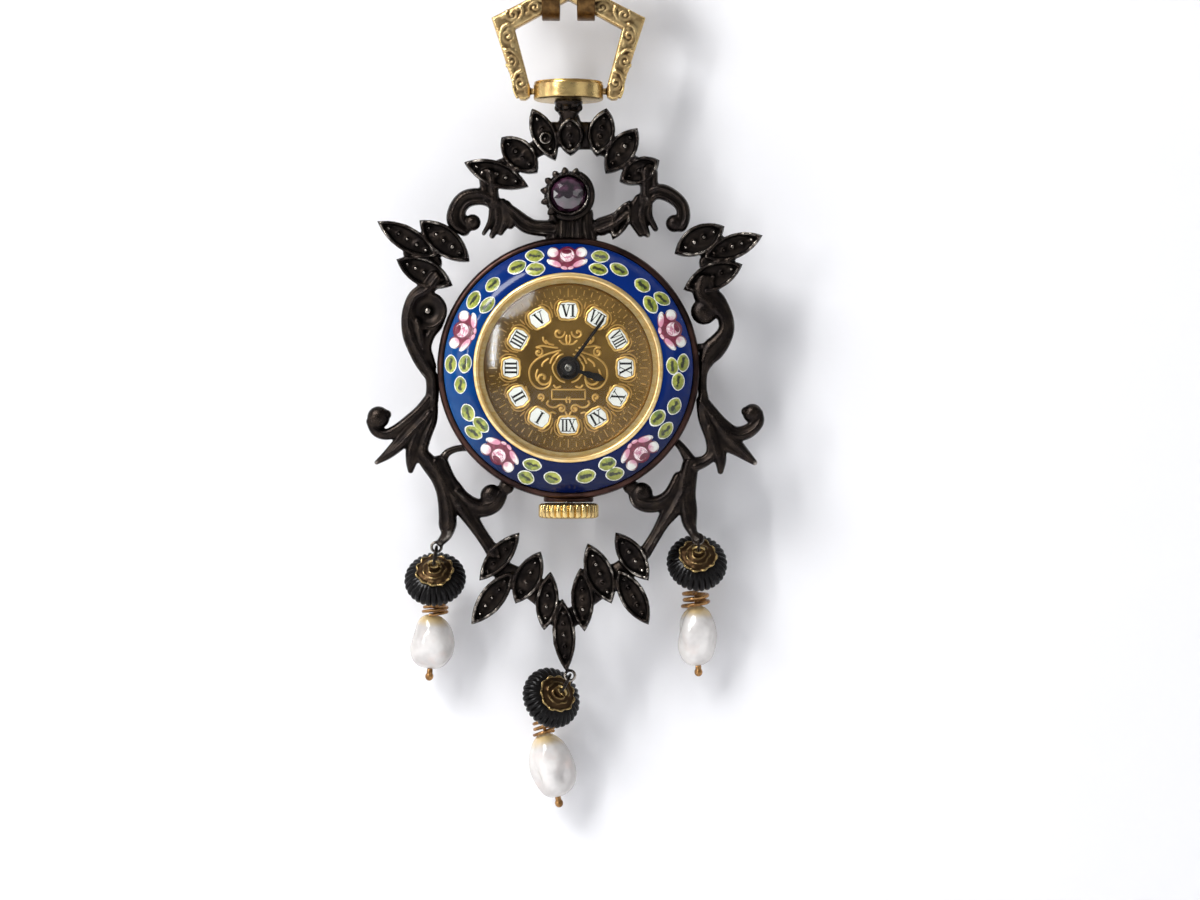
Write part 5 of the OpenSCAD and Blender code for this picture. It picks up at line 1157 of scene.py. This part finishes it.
class DialOperator(bpy.types.Operator):
    """Stamps the gold dial, and fires its white panels and black numerals."""

    bl_idname = "brooch_watch.dial"
    bl_label = "Dial"

    def execute(self, context):
        looks = looks_of(context)
        plate, white, black = Shape(), Shape(), Shape()
        plate.lathe([(0.7, 1.6), (0.7, 1.98), (1.2, 2.0), (8.1, 2.0), (8.2, 2.04), (8.3, 2.0), (8.6, 2.0),
                     (8.6, 1.6)], 192, loop=True)

        def stamp(line, width, sides, loop=False):
            plate.tube(lifted(line, DIAL_TOP), width, sides, loop, raised=1.0)

        for side in (-1, 1):
            for scroll in SCROLLS:
                stamp(curl(*scroll) * (side, 1), np.linspace(0.17, 0.1, 30), 7)
            for stem in STEMS:
                stamp(curve(stem, 6) * (side, 1), 0.11, 7)
        for angle, word in NUMERALS.items():

            def put(outline):
                return turned_2d(outline, angle - 90) + polar(NUMERAL_R, math.radians(angle))

            stamp(put(cartouche(0.14)), 0.12, 8, loop=True)
            for s in (-1, 1):
                stamp(put(curve([(s * 0.55, 1.12), (s * 1.0, 0.98), (s * 1.34, 0.5), (s * 1.34, -0.1),
                                 (s * 1.16, -0.55)])), 0.08, 6)
            white.slab(put(cartouche()), *PANEL_Z, 0.03)
            width = sum(LETTERS[c][1] for c in word)
            squeeze = min(1.0, 1.46 / (width * 1.2))
            x = -width / 2
            for c in word:
                strokes, wide = LETTERS[c]
                middle = x + wide / 2
                serifs = [((sx, sy - 0.03), (sx, sy + 0.03), 0.38) for sx, sy in SERIFS[c]]
                for (x0, y0), (x1, y1), thick in strokes + serifs:
                    h = thick / 2
                    quad = np.array([(x0 - h, y0), (x0 + h, y0), (x1 + h, y1), (x1 - h, y1)]) + (middle, 0)
                    black.slab(put(quad * (1.2 * squeeze, 1.22)), *NUMERAL_Z)
                x += wide
        for k in range(60):
            a = math.radians(6 * k)
            middle, long = (7.5, 0.36) if k % 5 == 0 else (7.7, 0.14)
            stamp([polar(middle + q, a) for q in (-long, 0, long)], 0.06, 6)
            for r, out in ((7.15, 3), (7.42, 0), (8.05, 3)):
                plate.ball((*polar(r, a + math.radians(out)), DIAL_TOP), 0.065, 6, raised=1.0)
        for angle in range(15, 375, 30):
            stamp([polar(r, math.radians(angle)) for r in (6.1, 6.4, 6.75)], [0.05, 0.1, 0.05], 6)
            for turn in (-7, -3.5, 3.5, 7):
                plate.ball((*polar(6.95, math.radians(angle + turn)), DIAL_TOP), 0.07, 6, raised=1.0)
        bare = [(-1.62, -3.1), (1.68, -3.1), (1.68, -2.15), (-1.62, -2.15)]
        stamp(np.concatenate([np.linspace(bare[i], bare[(i + 1) % 4], 6, endpoint=False) for i in range(4)]),
              0.09, 7, loop=True)
        piece("stamped_dial", plate, "watch", dial_gold(looks), ["dial"])
        enamel = gloss("white_dial_enamel", linear(252, 252, 250), linear(244, 244, 240), 0.2, 0.8, 0.01, 0.5)
        piece("numeral_panels", white, "watch", enamel)
        paint = gloss("numeral_paint", looks.numeral_black, linear(44, 40, 40), 0.4)
        piece("numerals", black, "watch", paint)
        return {"FINISHED"}


def hand_outline(name, points, half):
    """Outline of a hand from its half widths along it, turned to where the photograph has it."""
    x, h = np.asarray(points, float), np.asarray(half, float)
    outline = np.concatenate([np.stack([x, -h], 1), np.stack([x[::-1], h[::-1]], 1)])
    return turned_2d(outline, HAND_ANGLES[name])


class HandsOperator(bpy.types.Operator):
    """Files the black hands and turns their ringed hubs."""

    bl_idname = "brooch_watch.hands"
    bl_label = "Hands"

    def execute(self, context):
        looks = looks_of(context)
        black = gloss("black_hand_lacquer", looks.hand_black, linear(38, 34, 32), 0.3, 1.5, 0.01, 0.12)
        minute, hour, cap = Shape(), Shape(), Shape()
        minute.slab(hand_outline("minute", [-1.25, -1.1, 0, 5.7, 5.95, 6.05],
                                 [0.05, 0.15, 0.18, 0.15, 0.1, 0.02]), *HAND_Z["minute"], 0.05)
        minute.lathe([(0.36, 2.55), (0.8, 2.55), (0.8, 2.66), (0.74, 2.72), (0.6, 2.7), (0.52, 2.74),
                      (0.4, 2.72)], 72, loop=True)
        piece("minute_hand_black", minute, "minute", black, ["minute_hand"])
        hour.slab(hand_outline("hour", [0, 1.4, 1.7, 2.1, 2.5, 2.9, 3.25, 3.6, 3.85],
                               [0.2, 0.17, 0.2, 0.34, 0.3, 0.42, 0.36, 0.16, 0.02]), *HAND_Z["hour"], 0.05)
        hour.lathe([(0.6, 2.22), (1.12, 2.22), (1.16, 2.3), (1.12, 2.4), (1.02, 2.42), (0.94, 2.38),
                    (0.6, 2.38)], 72, loop=True)
        piece("hour_hand_black", hour, "hour", black, ["hour_hand"])
        cap.lathe([(0.34, 2.68), (0.34, 2.8), (0.3, 2.83), (0.2, 2.84), (0.14, 2.8), (0.02, 2.8)], 48)
        silver = metal("silver_cap", (172, 168, 160), (104, 100, 96), 0.25)
        piece("hand_cap", cap, "minute", silver)
        return {"FINISHED"}


class CrownOperator(bpy.types.Operator):
    """Cuts the ribs of the gold crown."""

    bl_idname = "brooch_watch.crown"
    bl_label = "Crown"

    def execute(self, context):
        looks = looks_of(context)
        ribs = looks.crown_ribs

        def ribbed(around, radius):
            depth = 0.26 * (radius > 2.55)
            wave = np.abs(np.cos(ribs * around / 2))
            return radius - depth * (1 - wave) ** 1.5

        crown = Shape()
        crown.lathe([(0.5, -13.46), (2.3, -13.45), (2.72, -13.5), (2.92, -13.6), (3.0, -13.75), (3.0, -14.75),
                     (2.93, -14.88), (2.75, -14.96), (2.4, -14.99), (1.9, -15.03), (1.0, -15.05),
                     (0.02, -15.05)], 416, axis="y", flute=ribbed, at=(0, 0, CROWN_Z))
        gold = plain_gold(looks, "crown_gold", 0.0, 0.22)
        piece("ribbed_crown", crown, "crown", gold, ["crown"], sharp=55)
        return {"FINISHED"}


# Collar, bail and brooch

def foliage(shape, a, b, half, height, curls, base, mirror=1, face=1):
    """Raised scrolls with leaf lobes along a bar from a to b."""
    a, b = np.array(a, float), np.array(b, float)
    u = (b - a) / np.linalg.norm(b - a)
    v = np.array([-u[1], u[0]])
    step = np.linalg.norm(b - a) / curls

    def put(line, width, lift=0.0):
        xy = a + np.outer(line[:, 0], u) + np.outer(line[:, 1], v)
        shape.tube(lifted(xy, face * (base + lift)), width, 7, flat=height / 0.2)

    for k in range(curls):
        s = mirror * (1 if k % 2 else -1)

        def spot(along, out):
            return (k + along) * step, s * half * out

        spiral = curl((0, 0), 0.1, half * 0.8, 560, 110, 26)
        put(spiral * (1.1, s) + spot(0.52, 0.18), np.linspace(0.14, 0.1, 26), 0.03)
        stem = curve([spot(0.05, -0.75), spot(0.45, -0.8), spot(0.9, -0.2), spot(1.0, 0.55)])
        put(stem, np.linspace(0.1, 0.2, len(stem)))
        for q in (0.05, 0.2, 0.72, 0.88):
            blade = curve([spot(q, -0.72), spot(q + 0.07, -0.3), spot(q + 0.2, -0.05)], 4)
            put(blade, np.linspace(0.14, 0.05, len(blade)), -0.02)
        for q, reach in ((0.08, 0.3), (0.18, 0.4), (0.3, 0.42), (0.8, 0.35), (0.95, 0.4)):
            lobe = curve([spot(q, 0.45), spot(q + 0.06, 0.7), spot(q + 0.02, 0.45 + reach)], 4)
            put(lobe, np.linspace(0.17, 0.06, len(lobe)), -0.02)


class BailOperator(bpy.types.Operator):
    """Casts and engraves the bail, and turns the collar that the watch swivels in."""

    bl_idname = "brooch_watch.bail"
    bl_label = "Bail and collar"

    def execute(self, context):
        looks = looks_of(context)
        gold = old_gold(looks)
        bail = Shape()
        bail.slab(mirrored([(0, 38.9), (7.7, 35.0), (5.25, 27.5), (4.85, 26.85), (4.3, 26.8), (3.85, 27.1),
                            (3.85, 28.2), (5.35, 33.9), (0, 36.8)]), -0.62, 0.62)
        bail.slab(mirrored([(0, 38.7), (7.5, 34.9), (5.05, 27.5), (4.7, 27.0), (4.3, 26.95), (4.02, 27.2),
                            (4.02, 28.2), (5.52, 34.0), (0, 37.0)]), -0.74, 0.74)
        engraving = looks.engraving / MM
        for s in (-1, 1):
            for face in (-1, 1):
                foliage(bail, (s * 4.55, 27.2), (s * 6.5, 34.2), 0.85, engraving, 3, 0.66, -s, face)
                foliage(bail, (s * 6.6, 34.6), (s * 0.3, 37.7), 0.85, engraving, 3, 0.66, s, face)
            bail.tube([(s * 3.0, SIDE_PIN_Y, 0), (s * 5.2, SIDE_PIN_Y, 0)], 0.33, 12)
            bail.ball((s * 5.15, SIDE_PIN_Y, 0), 0.42, 12, (0.5, 1, 1))
        piece("engraved_bail", bail, "link", gold, ["bail", "bail_pins"],
              0.9 * looks.cast_grain / MM)
        collar = Shape()
        y0, y1 = COLLAR_Y
        collar.lathe([(0.63, y0), (3.3, y0), (3.46, y0 + 0.1), (3.5, y0 + 0.3), (3.47, y0 + 0.5),
                      (3.5, y0 + 0.62), (3.5, y1 - 0.32), (3.4, y1 - 0.26), (3.38, y1 - 0.18),
                      (3.46, y1 - 0.12), (3.4, y1), (0.63, y1)], 192, axis="y", loop=True)
        rubbed = plain_gold(looks, "rubbed_gold", 0.15, 0.26)
        piece("swivel_disc", collar, "collar", rubbed, ["swivel_collar"])
        stem = Shape()
        stem.lathe([(0.5, 24.1), (0.75, 25.0), (0.95, 25.35), (1.1, 25.6), (0.95, 25.85), (1.0, 26.1),
                    (1.35, 26.35), (1.45, 26.6), (1.4, 26.78), (0.6, 26.79), (0.6, 28.62), (0.95, 28.63),
                    (0.95, 28.8), (0.6, 28.87), (0.02, 28.88)], 48, axis="y")
        for k in range(8):
            x, z = polar(1.05, math.radians(45 * k + 12))
            stem.ball((x, 26.05 + 0.25 * (k % 2), z), 0.42, 12)
        piece("swivel_stem_casting", stem, "watch", cast_silver(looks), ["swivel_stem"],
              0.8 * looks.cast_grain / MM)
        return {"FINISHED"}


class BroochOperator(bpy.types.Operator):
    """Engraves the brooch bar and bends its straps, and finishes the hinge, pin and catch."""

    bl_idname = "brooch_watch.brooch"
    bl_label = "Brooch"

    def execute(self, context):
        looks = looks_of(context)
        gold = old_gold(looks, "brooch_gold")
        plate = Shape()
        for s in (-1, 1):
            for x, r in ((7.2, 1.8), (4.0, 2.4), (0.0, 2.7)):
                for depth, reach in ((0.34, r), (0.48, r - 0.2)):
                    plate.slab(polar(reach, angles(64)) + (s * x, BROOCH_Y), -depth, depth)
            foliage(plate, (0.2 * s, BROOCH_Y + 0.2), (8.4 * s, BROOCH_Y + 0.2), 1.15,
                    looks.engraving / MM, 4, 0.4, s)
            plate.tube(curve([(x * s, BROOCH_Y - y, 0.42) for x, y in ((0.4, 1.7), (3.0, 1.5), (5.4, 1.4),
                                                                       (7.9, 0.9))]), 0.16, 8)
        plate.slab([(x, BROOCH_Y + y) for x, y in ((-7.2, -1.35), (7.2, -1.35), (7.2, 1.35), (-7.2, 1.35))],
                   -0.4, 0.4)
        piece("engraved_bar", plate, "brooch", gold, ["brooch_bar"], looks.cast_grain / MM)
        straps = Shape()
        p = np.concatenate([polar(2.0, np.radians(np.linspace(-172, 100, 44)))[:, ::-1] + (STRAP_Y, 0),
                            [(y, -0.7) for y in (39.4, 40.2, 41.0, 41.84)]])
        along = unit(np.gradient(p, axis=0))
        out = np.stack([along[:, 1], -along[:, 0]], 1)
        for x in (-1.75, 1.75):
            strands = [np.column_stack([np.full(len(p), x + fx), p + out * fo])
                       for fx, fo in ((-0.9, -0.12), (-0.82, -0.2), (0.82, -0.2), (0.9, -0.12), (0.9, 0.12),
                                      (0.82, 0.2), (0, 0.205), (-0.82, 0.2), (-0.9, 0.12))]
            straps.skin(np.stack(strands, 1))
        dark = metal("strap_gold", (112, 84, 50), (76, 56, 34), 0.3, 1.2, 0.02)
        piece("bent_straps", straps, "brooch", dark, ["straps"])
        dress(plain_gold(looks, "hinge_gold", 0.3, 0.3), "pin_hinge", "pin_catch", "hinge_rivet")
        dress(metal("drawn_pin_steel", (196, 192, 184), (150, 146, 140), 0.22, 4.0, 0.01, (0.1, 1, 1)),
              "brooch_pin")
        return {"FINISHED"}


# Drops: each shape is set out from the loop that it hangs by, and then leaned to its place

def bead_place(i):
    """Where the bead of a drop hangs in its link."""
    return leaned([(0, -2 * LINK_R[i], 0)], (*EYE_AT[i], 0), *LINK_LEAN[i])[0]


def pearl_place(i):
    """Where the pearl's wire hangs in the bead's lower loop."""
    down = -BEAD_MID - UNDER_LOOP - LOOP_R + LOOP_DROP
    return leaned([(0, down, 0)], bead_place(i), *BEAD_LEAN[i])[0]


def ring_path(radius, height, seen="z"):
    """The middle line of a wire ring that is seen round along an axis."""
    a = angles(28)
    x, y = radius * np.cos(a), height + radius * np.sin(a)
    return np.stack([x, y, 0 * a] if seen == "z" else [0 * a, y, x], 1)


def bead_shape(i, flutes):
    """A round bead with uneven flutes, marked by how far each point stands out."""

    def fluted(around, radius):
        wave = np.abs(np.sin(flutes * around / 2 + 0.25 * np.sin(3 * around + i)))
        depth = 0.3 * np.clip((radius - 1.9) / 0.9, 0, 1)
        return radius - depth * (1 - wave ** 0.55) + 0.05 * np.sin(2 * around + 2 * i)

    bead = Shape()
    steps = np.radians(np.linspace(-88, 88, 22))
    bead.lathe([(max(3.12 * math.cos(a) ** 0.72, 0.8), 1.48 * math.sin(a)) for a in steps], 360,
               axis="y", flute=fluted)
    x, _, z = bead.points[0].T
    bead.marks["raised"] = [(0, (np.hypot(x, z) - 2.2) / 1.2)]
    return bead


def cap_shape(i):
    """The crumpled gold cap of a bead, with the loops above and below."""

    def scalloped(around, radius):
        wave = 0.05 * np.cos(11 * around) + 0.03 * np.sin(4 * around + i)
        return radius * (1 + (radius > 1.4) * wave)

    cap = Shape()
    top = BEAD_H / 2
    cap.lathe([(r, top + h) for r, h in ((0.3, -0.2), (1.75, -0.22), (1.88, -0.12), (1.86, 0.02), (1.6, 0.1),
                                         (1.2, 0.24), (0.8, 0.34), (0.45, 0.42), (0.3, 0.43))],
              112, axis="y", loop=True, flute=scalloped)
    a = angles(132)
    ruffle = 1.78 + 0.09 * np.cos(11 * a) + 0.05 * np.sin(4 * a + i)
    cap.tube(np.stack([ruffle * np.cos(a), top + 0.03 + 0.07 * np.cos(11 * a), -ruffle * np.sin(a)], 1),
             0.13, 8, loop=True)
    a = angles(32)
    cap.tube(np.stack([(1.12 + 0.09 * np.cos(7 * a)) * np.cos(a), top + 0.24 + 0.05 * np.sin(5 * a),
                       1.12 * np.sin(a)], 1), 0.09, 8, loop=True)
    a = angles(24)
    cap.tube(np.stack([(0.62 + 0.07 * np.cos(3 * a)) * np.cos(a), top + 0.38 + 0 * a, 0.62 * np.sin(a)], 1),
             0.1, 8, loop=True)
    cap.tube([(0, top, 0), (0, top + CAP_H + WIRE_R, 0)], 0.16, 10)
    cap.tube(ring_path(LOOP_R, BEAD_MID - LOOP_DROP), WIRE_R, 10, loop=True)
    cap.lathe([(0.3, -top - 0.18), (0.8, -top - 0.12), (0.8, -top + 0.1), (0.3, -top + 0.1)], 40,
              axis="y", loop=True)
    cap.tube([(0, -top, 0), (0, -top - 0.25, 0)], 0.2, 10)
    cap.tube(spun(ring_path(LOOP_R, -UNDER_LOOP), UNDER_TURN[i]), WIRE_R, 10, loop=True)
    return cap


def wire_shape(i):
    """The head pin of a pearl: its loop, the wire wound round its neck, and its foot."""
    neck, coil = NECK[i], COIL_H[i]
    wire = Shape()
    wire.tube(spun(ring_path(LOOP_R, -LOOP_DROP, "x"), PEARL_TURN[i]), WIRE_R, 10, loop=True)
    wire.tube([(0, -LOOP_DROP - LOOP_R, 0), (0, -neck - 0.4, 0)], WIRE_R + 0.02, 8)
    t = np.linspace(0, 1, int(COIL_TURNS[i] * 22))
    wide = COIL_WIDE[i][0] + COIL_WIDE[i][1] * t + 0.08 * np.sin(5.3 * t + i)
    a = 2 * math.pi * COIL_TURNS[i] * t + i
    x, z = wide * np.cos(a), wide * np.sin(a)
    winding = np.stack([x, -neck + coil - 0.06 - (coil + 0.2) * t + COIL_LEAN[i] * x, z], 1)
    wire.tube(winding, COIL_WIRE_R[i], 9)
    hitch = curve([(0.1, -LOOP_DROP - LOOP_R - 0.1, 0.1), (0.35, -neck + coil + 0.25, 0.25),
                   (0.25, -neck + coil + 0.1, -0.35), winding[0]], 6)
    wire.tube(hitch, 0.15, 8)
    if SIDES[i] == "centre":
        tail = curve(winding[-1] + [(0, 0, 0), (-0.3, 0.1, 0.25), (-0.55, -0.02, 0.3)])
        wire.tube(tail, 0.14, 8)
        wire.ball(tail[-1], 0.26, 12)
    foot = -neck - PEARL_LEN[i]
    wire.tube([(0, foot + 0.2, 0), (0, foot - 0.35, 0)], 0.3, 12)
    wire.ball((0, foot - 0.42, 0), 0.46, 20, (0.92, 1.0, 0.92))
    return wire


def pearl_shape(i, unevenness):
    """A long pearl with shallow dents, marked from its middle to its cream top."""
    chance = random.Random(20 + i)
    rows, around = 64, 96
    lat = np.radians(np.linspace(-84, 84, rows))[:, None]
    lon = angles(around)[None, :]
    ball = np.stack([(np.cos(lat) * np.cos(lon)).ravel(), (np.sin(lat) + 0 * lon).ravel(),
                     (np.cos(lat) * np.sin(lon)).ravel()], 1)
    swell = np.ones(len(ball))
    for _ in range(15):
        aim = unit(np.array([chance.uniform(-1, 1), chance.uniform(-0.8, 0.8), chance.uniform(-0.3, 1)]))
        deep, tight = chance.uniform(0.3, 1.0), chance.uniform(4, 22)
        swell -= unevenness * deep * np.exp(tight * (ball @ aim - 1))
    swell += 0.02 * np.sin(3 * ball[:, 1] + 2 * ball[:, 0] + i)
    r = PEARL_D[i] / 2 * np.abs(np.cos(lat + 0 * lon)).ravel() ** -0.16
    size = np.stack([r, np.full(len(r), PEARL_LEN[i] / 2), r], 1)
    points = ball * size * (swell / swell.max())[:, None]
    points[:, [0, 2]] *= (1 - 0.05 * ball[:, 1])[:, None]
    points[:, 1] += -NECK[i] - PEARL_LEN[i] / 2
    body = Shape()
    body.add(points, net(rows, around), crown=np.clip(ball[:, 1] * 1.5 - 0.35, 0, 1))
    return body


class DropsOperator(bpy.types.Operator):
    """Strings the three drops: ring, fluted bead with its cap, wound wire and pearl."""

    bl_idname = "brooch_watch.drops"
    bl_label = "Bead and pearl drops"

    def execute(self, context):
        looks = looks_of(context)
        gold = old_gold(looks, "cap_gold", 1.0)
        dull = metal("dull_gold_wire", (184, 140, 90), (122, 88, 54), 0.28, 1.5, 0.02)
        silver, black, white = cast_silver(looks), black_glass(looks), nacre(looks)
        for i, side in enumerate(SIDES):
            ring = Shape()
            ring.tube(ring_path(LINK_R[i], -LINK_R[i], "x"), WIRE_R, 10, loop=True, raised=0.6)
            bead, cap = bead_shape(i, looks.bead_flutes), cap_shape(i)
            wire, pearl = wire_shape(i), pearl_shape(i, looks.pearl_dents)
            ring.moved(lambda p: leaned(p, (*EYE_AT[i], 0), *LINK_LEAN[i]))
            for shape in (bead, cap):
                shape.moved(lambda p: leaned(p + np.array([0, -BEAD_MID, 0]), bead_place(i), *BEAD_LEAN[i]))
            for shape in (wire, pearl):
                shape.moved(lambda p: leaned(p, pearl_place(i), 0, PEARL_LEAN[i]))
            piece(side + "_ring_wire", ring, side + "_ring", silver, [side + "_link"])
            piece(side + "_fluted_bead", bead, side + "_drop", black, [side + "_bead"],
                  sharp=75)
            piece(side + "_filigree_cap", cap, side + "_drop", gold, [side + "_cap"],
                  0.75 * looks.cast_grain / MM)
            piece(side + "_wound_wire", wire, side + "_tail", dull, [side + "_wire"], sharp=60)
            piece(side + "_baroque_pearl", pearl, side + "_tail", white, [side + "_pearl"], sharp=80)
        return {"FINISHED"}


class MovementOperator(bpy.types.Operator):
    """Grains, gilds and polishes the movement's pieces under the case back."""

    bl_idname = "brooch_watch.movement"
    bl_label = "Movement"

    def execute(self, context):
        nickel = Finish("grained_nickel", Metallic=1.0)
        stripes = nickel.node("TexWave", {"Vector": nickel.at, "Scale": 0.3 / MM, "Distortion": 0.4,
                                          "Detail": 1.0}, wave_type="BANDS", bands_direction="DIAGONAL")
        grain = nickel.noise(9.0, 2, 0.6, nickel.stretched(1, 1, 0.15))
        nickel.done(nickel.mix(stripes, linear(178, 176, 170), linear(206, 204, 196)),
                    nickel.span(grain, 0.22, 0.42), grain, 0.008)
        dress(nickel.material, "main_plate", "train_bridge", "balance_cock", "movement_ring")
        dress(metal("gilt_wheels", (206, 172, 98), (178, 142, 74), 0.26, 5.0), "hour_wheel", "minute_wheel",
              "mainspring_barrel", "centre_wheel", "third_wheel", "fourth_wheel", "balance_wheel")
        dress(metal("polished_steel", (180, 182, 186), (140, 142, 148), 0.18, 6.0), "cannon_pinion",
              "escape_wheel", "pallet_fork", "winding_pinion", "winding_stem", "crown_wheel",
              "ratchet_wheel", "click")
        dress(metal("blued_steel", (52, 70, 128), (34, 44, 92), 0.2, 2.0), "movement_screws", "hairspring")
        dress(plain_gold(looks_of(context), "tube_gold", 0.2, 0.25), "crown_tube")
        return {"FINISHED"}


class StageOperator(bpy.types.Operator):
    """Sets the pale floor and backdrop, the soft lamps and the camera."""

    bl_idname = "brooch_watch.stage"
    bl_label = "Stage"

    def execute(self, context):
        looks = looks_of(context)
        card = paper(looks)
        sheets = {"backdrop": [(x, WALL_Y, z) for x, z in ((-1, FLOOR_Z), (1, FLOOR_Z), (1, PAPER_REACH),
                                                           (-1, PAPER_REACH))],
                  "floor": [(x, y * PAPER_REACH, FLOOR_Z) for x, y in ((-1, -1), (1, -1), (1, 1), (-1, 1))]}
        for name, corners in sheets.items():
            mesh = bpy.data.meshes.new(name)
            mesh.from_pydata([(x * PAPER_REACH, y, z) for x, y, z in corners], [], [(0, 1, 2, 3)])
            mesh.materials.append(card)
            placed(name, mesh)
        for name, (offset, size, power) in LAMPS.items():
            lamp = bpy.data.lights.new(name, "AREA")
            lamp.shape, lamp.size, lamp.energy = "DISK", size, power * looks.lamp_level
            if name == "strip_lamp":
                lamp.shape, lamp.size_y = "RECTANGLE", STRIP_LONG * size
            holder = placed(name, lamp)
            holder.location = DIAL + WATCH_MIDDLE + np.array(offset)
            holder.rotation_euler = (-Vector(offset)).to_track_quat("-Z", "Y").to_euler()
        world_light = bpy.data.worlds.new("studio")
        world_light.use_nodes = True
        shade = world_light.node_tree.nodes["Background"]
        shade.inputs["Color"].default_value = (*SKY, 1)
        shade.inputs["Strength"].default_value = SKY_LEVEL
        context.scene.world = world_light
        context.scene.view_settings.view_transform = "Standard"
        eye = bpy.data.cameras.new("photo_camera")
        eye.sensor_width = SENSOR_MM
        eye.lens = SENSOR_MM * CAMERA_MM * PIXELS_PER_MM / PHOTO_SIZE[0]
        camera = placed("photo_camera", eye)
        x, y = from_pixel(PHOTO_SIZE[0] / 2, PHOTO_SIZE[1] / 2)
        camera.location = world([(x, y, CAMERA_MM)])[0]
        camera.rotation_euler = (math.pi / 2, 0, 0)
        context.scene.camera = camera
        return {"FINISHED"}


OPERATORS = (FrameOperator, StoneOperator, CaseOperator, EnamelOperator, GlassOperator, DialOperator,
             HandsOperator, CrownOperator, BailOperator, BroochOperator, DropsOperator, MovementOperator,
             StageOperator)


class WatchPanel(bpy.types.Panel):
    """Lists the watch's sizes and colours, and the steps that make its pieces."""

    bl_idname = "BROOCHWATCH_PT_panel"
    bl_label = "Brooch watch"
    bl_space_type = "VIEW_3D"
    bl_region_type = "UI"
    bl_category = "Brooch watch"

    def draw(self, context):
        looks = looks_of(context)
        for key in WatchLooks.__annotations__:
            self.layout.prop(looks, key)
        for step in OPERATORS:
            self.layout.operator(step.bl_idname)


CLASSES = (WatchLooks, *OPERATORS, WatchPanel)


def register():
    for item in CLASSES:
        bpy.utils.register_class(item)
    bpy.types.Scene.brooch_watch_looks = PointerProperty(type=WatchLooks)


def unregister():
    del bpy.types.Scene.brooch_watch_looks
    for item in reversed(CLASSES):
        bpy.utils.unregister_class(item)


def main():
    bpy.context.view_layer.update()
    register()
    for step in OPERATORS:
        group, name = step.bl_idname.split(".")
        getattr(getattr(bpy.ops, group), name)()


if __name__ == "__main__":
    main()
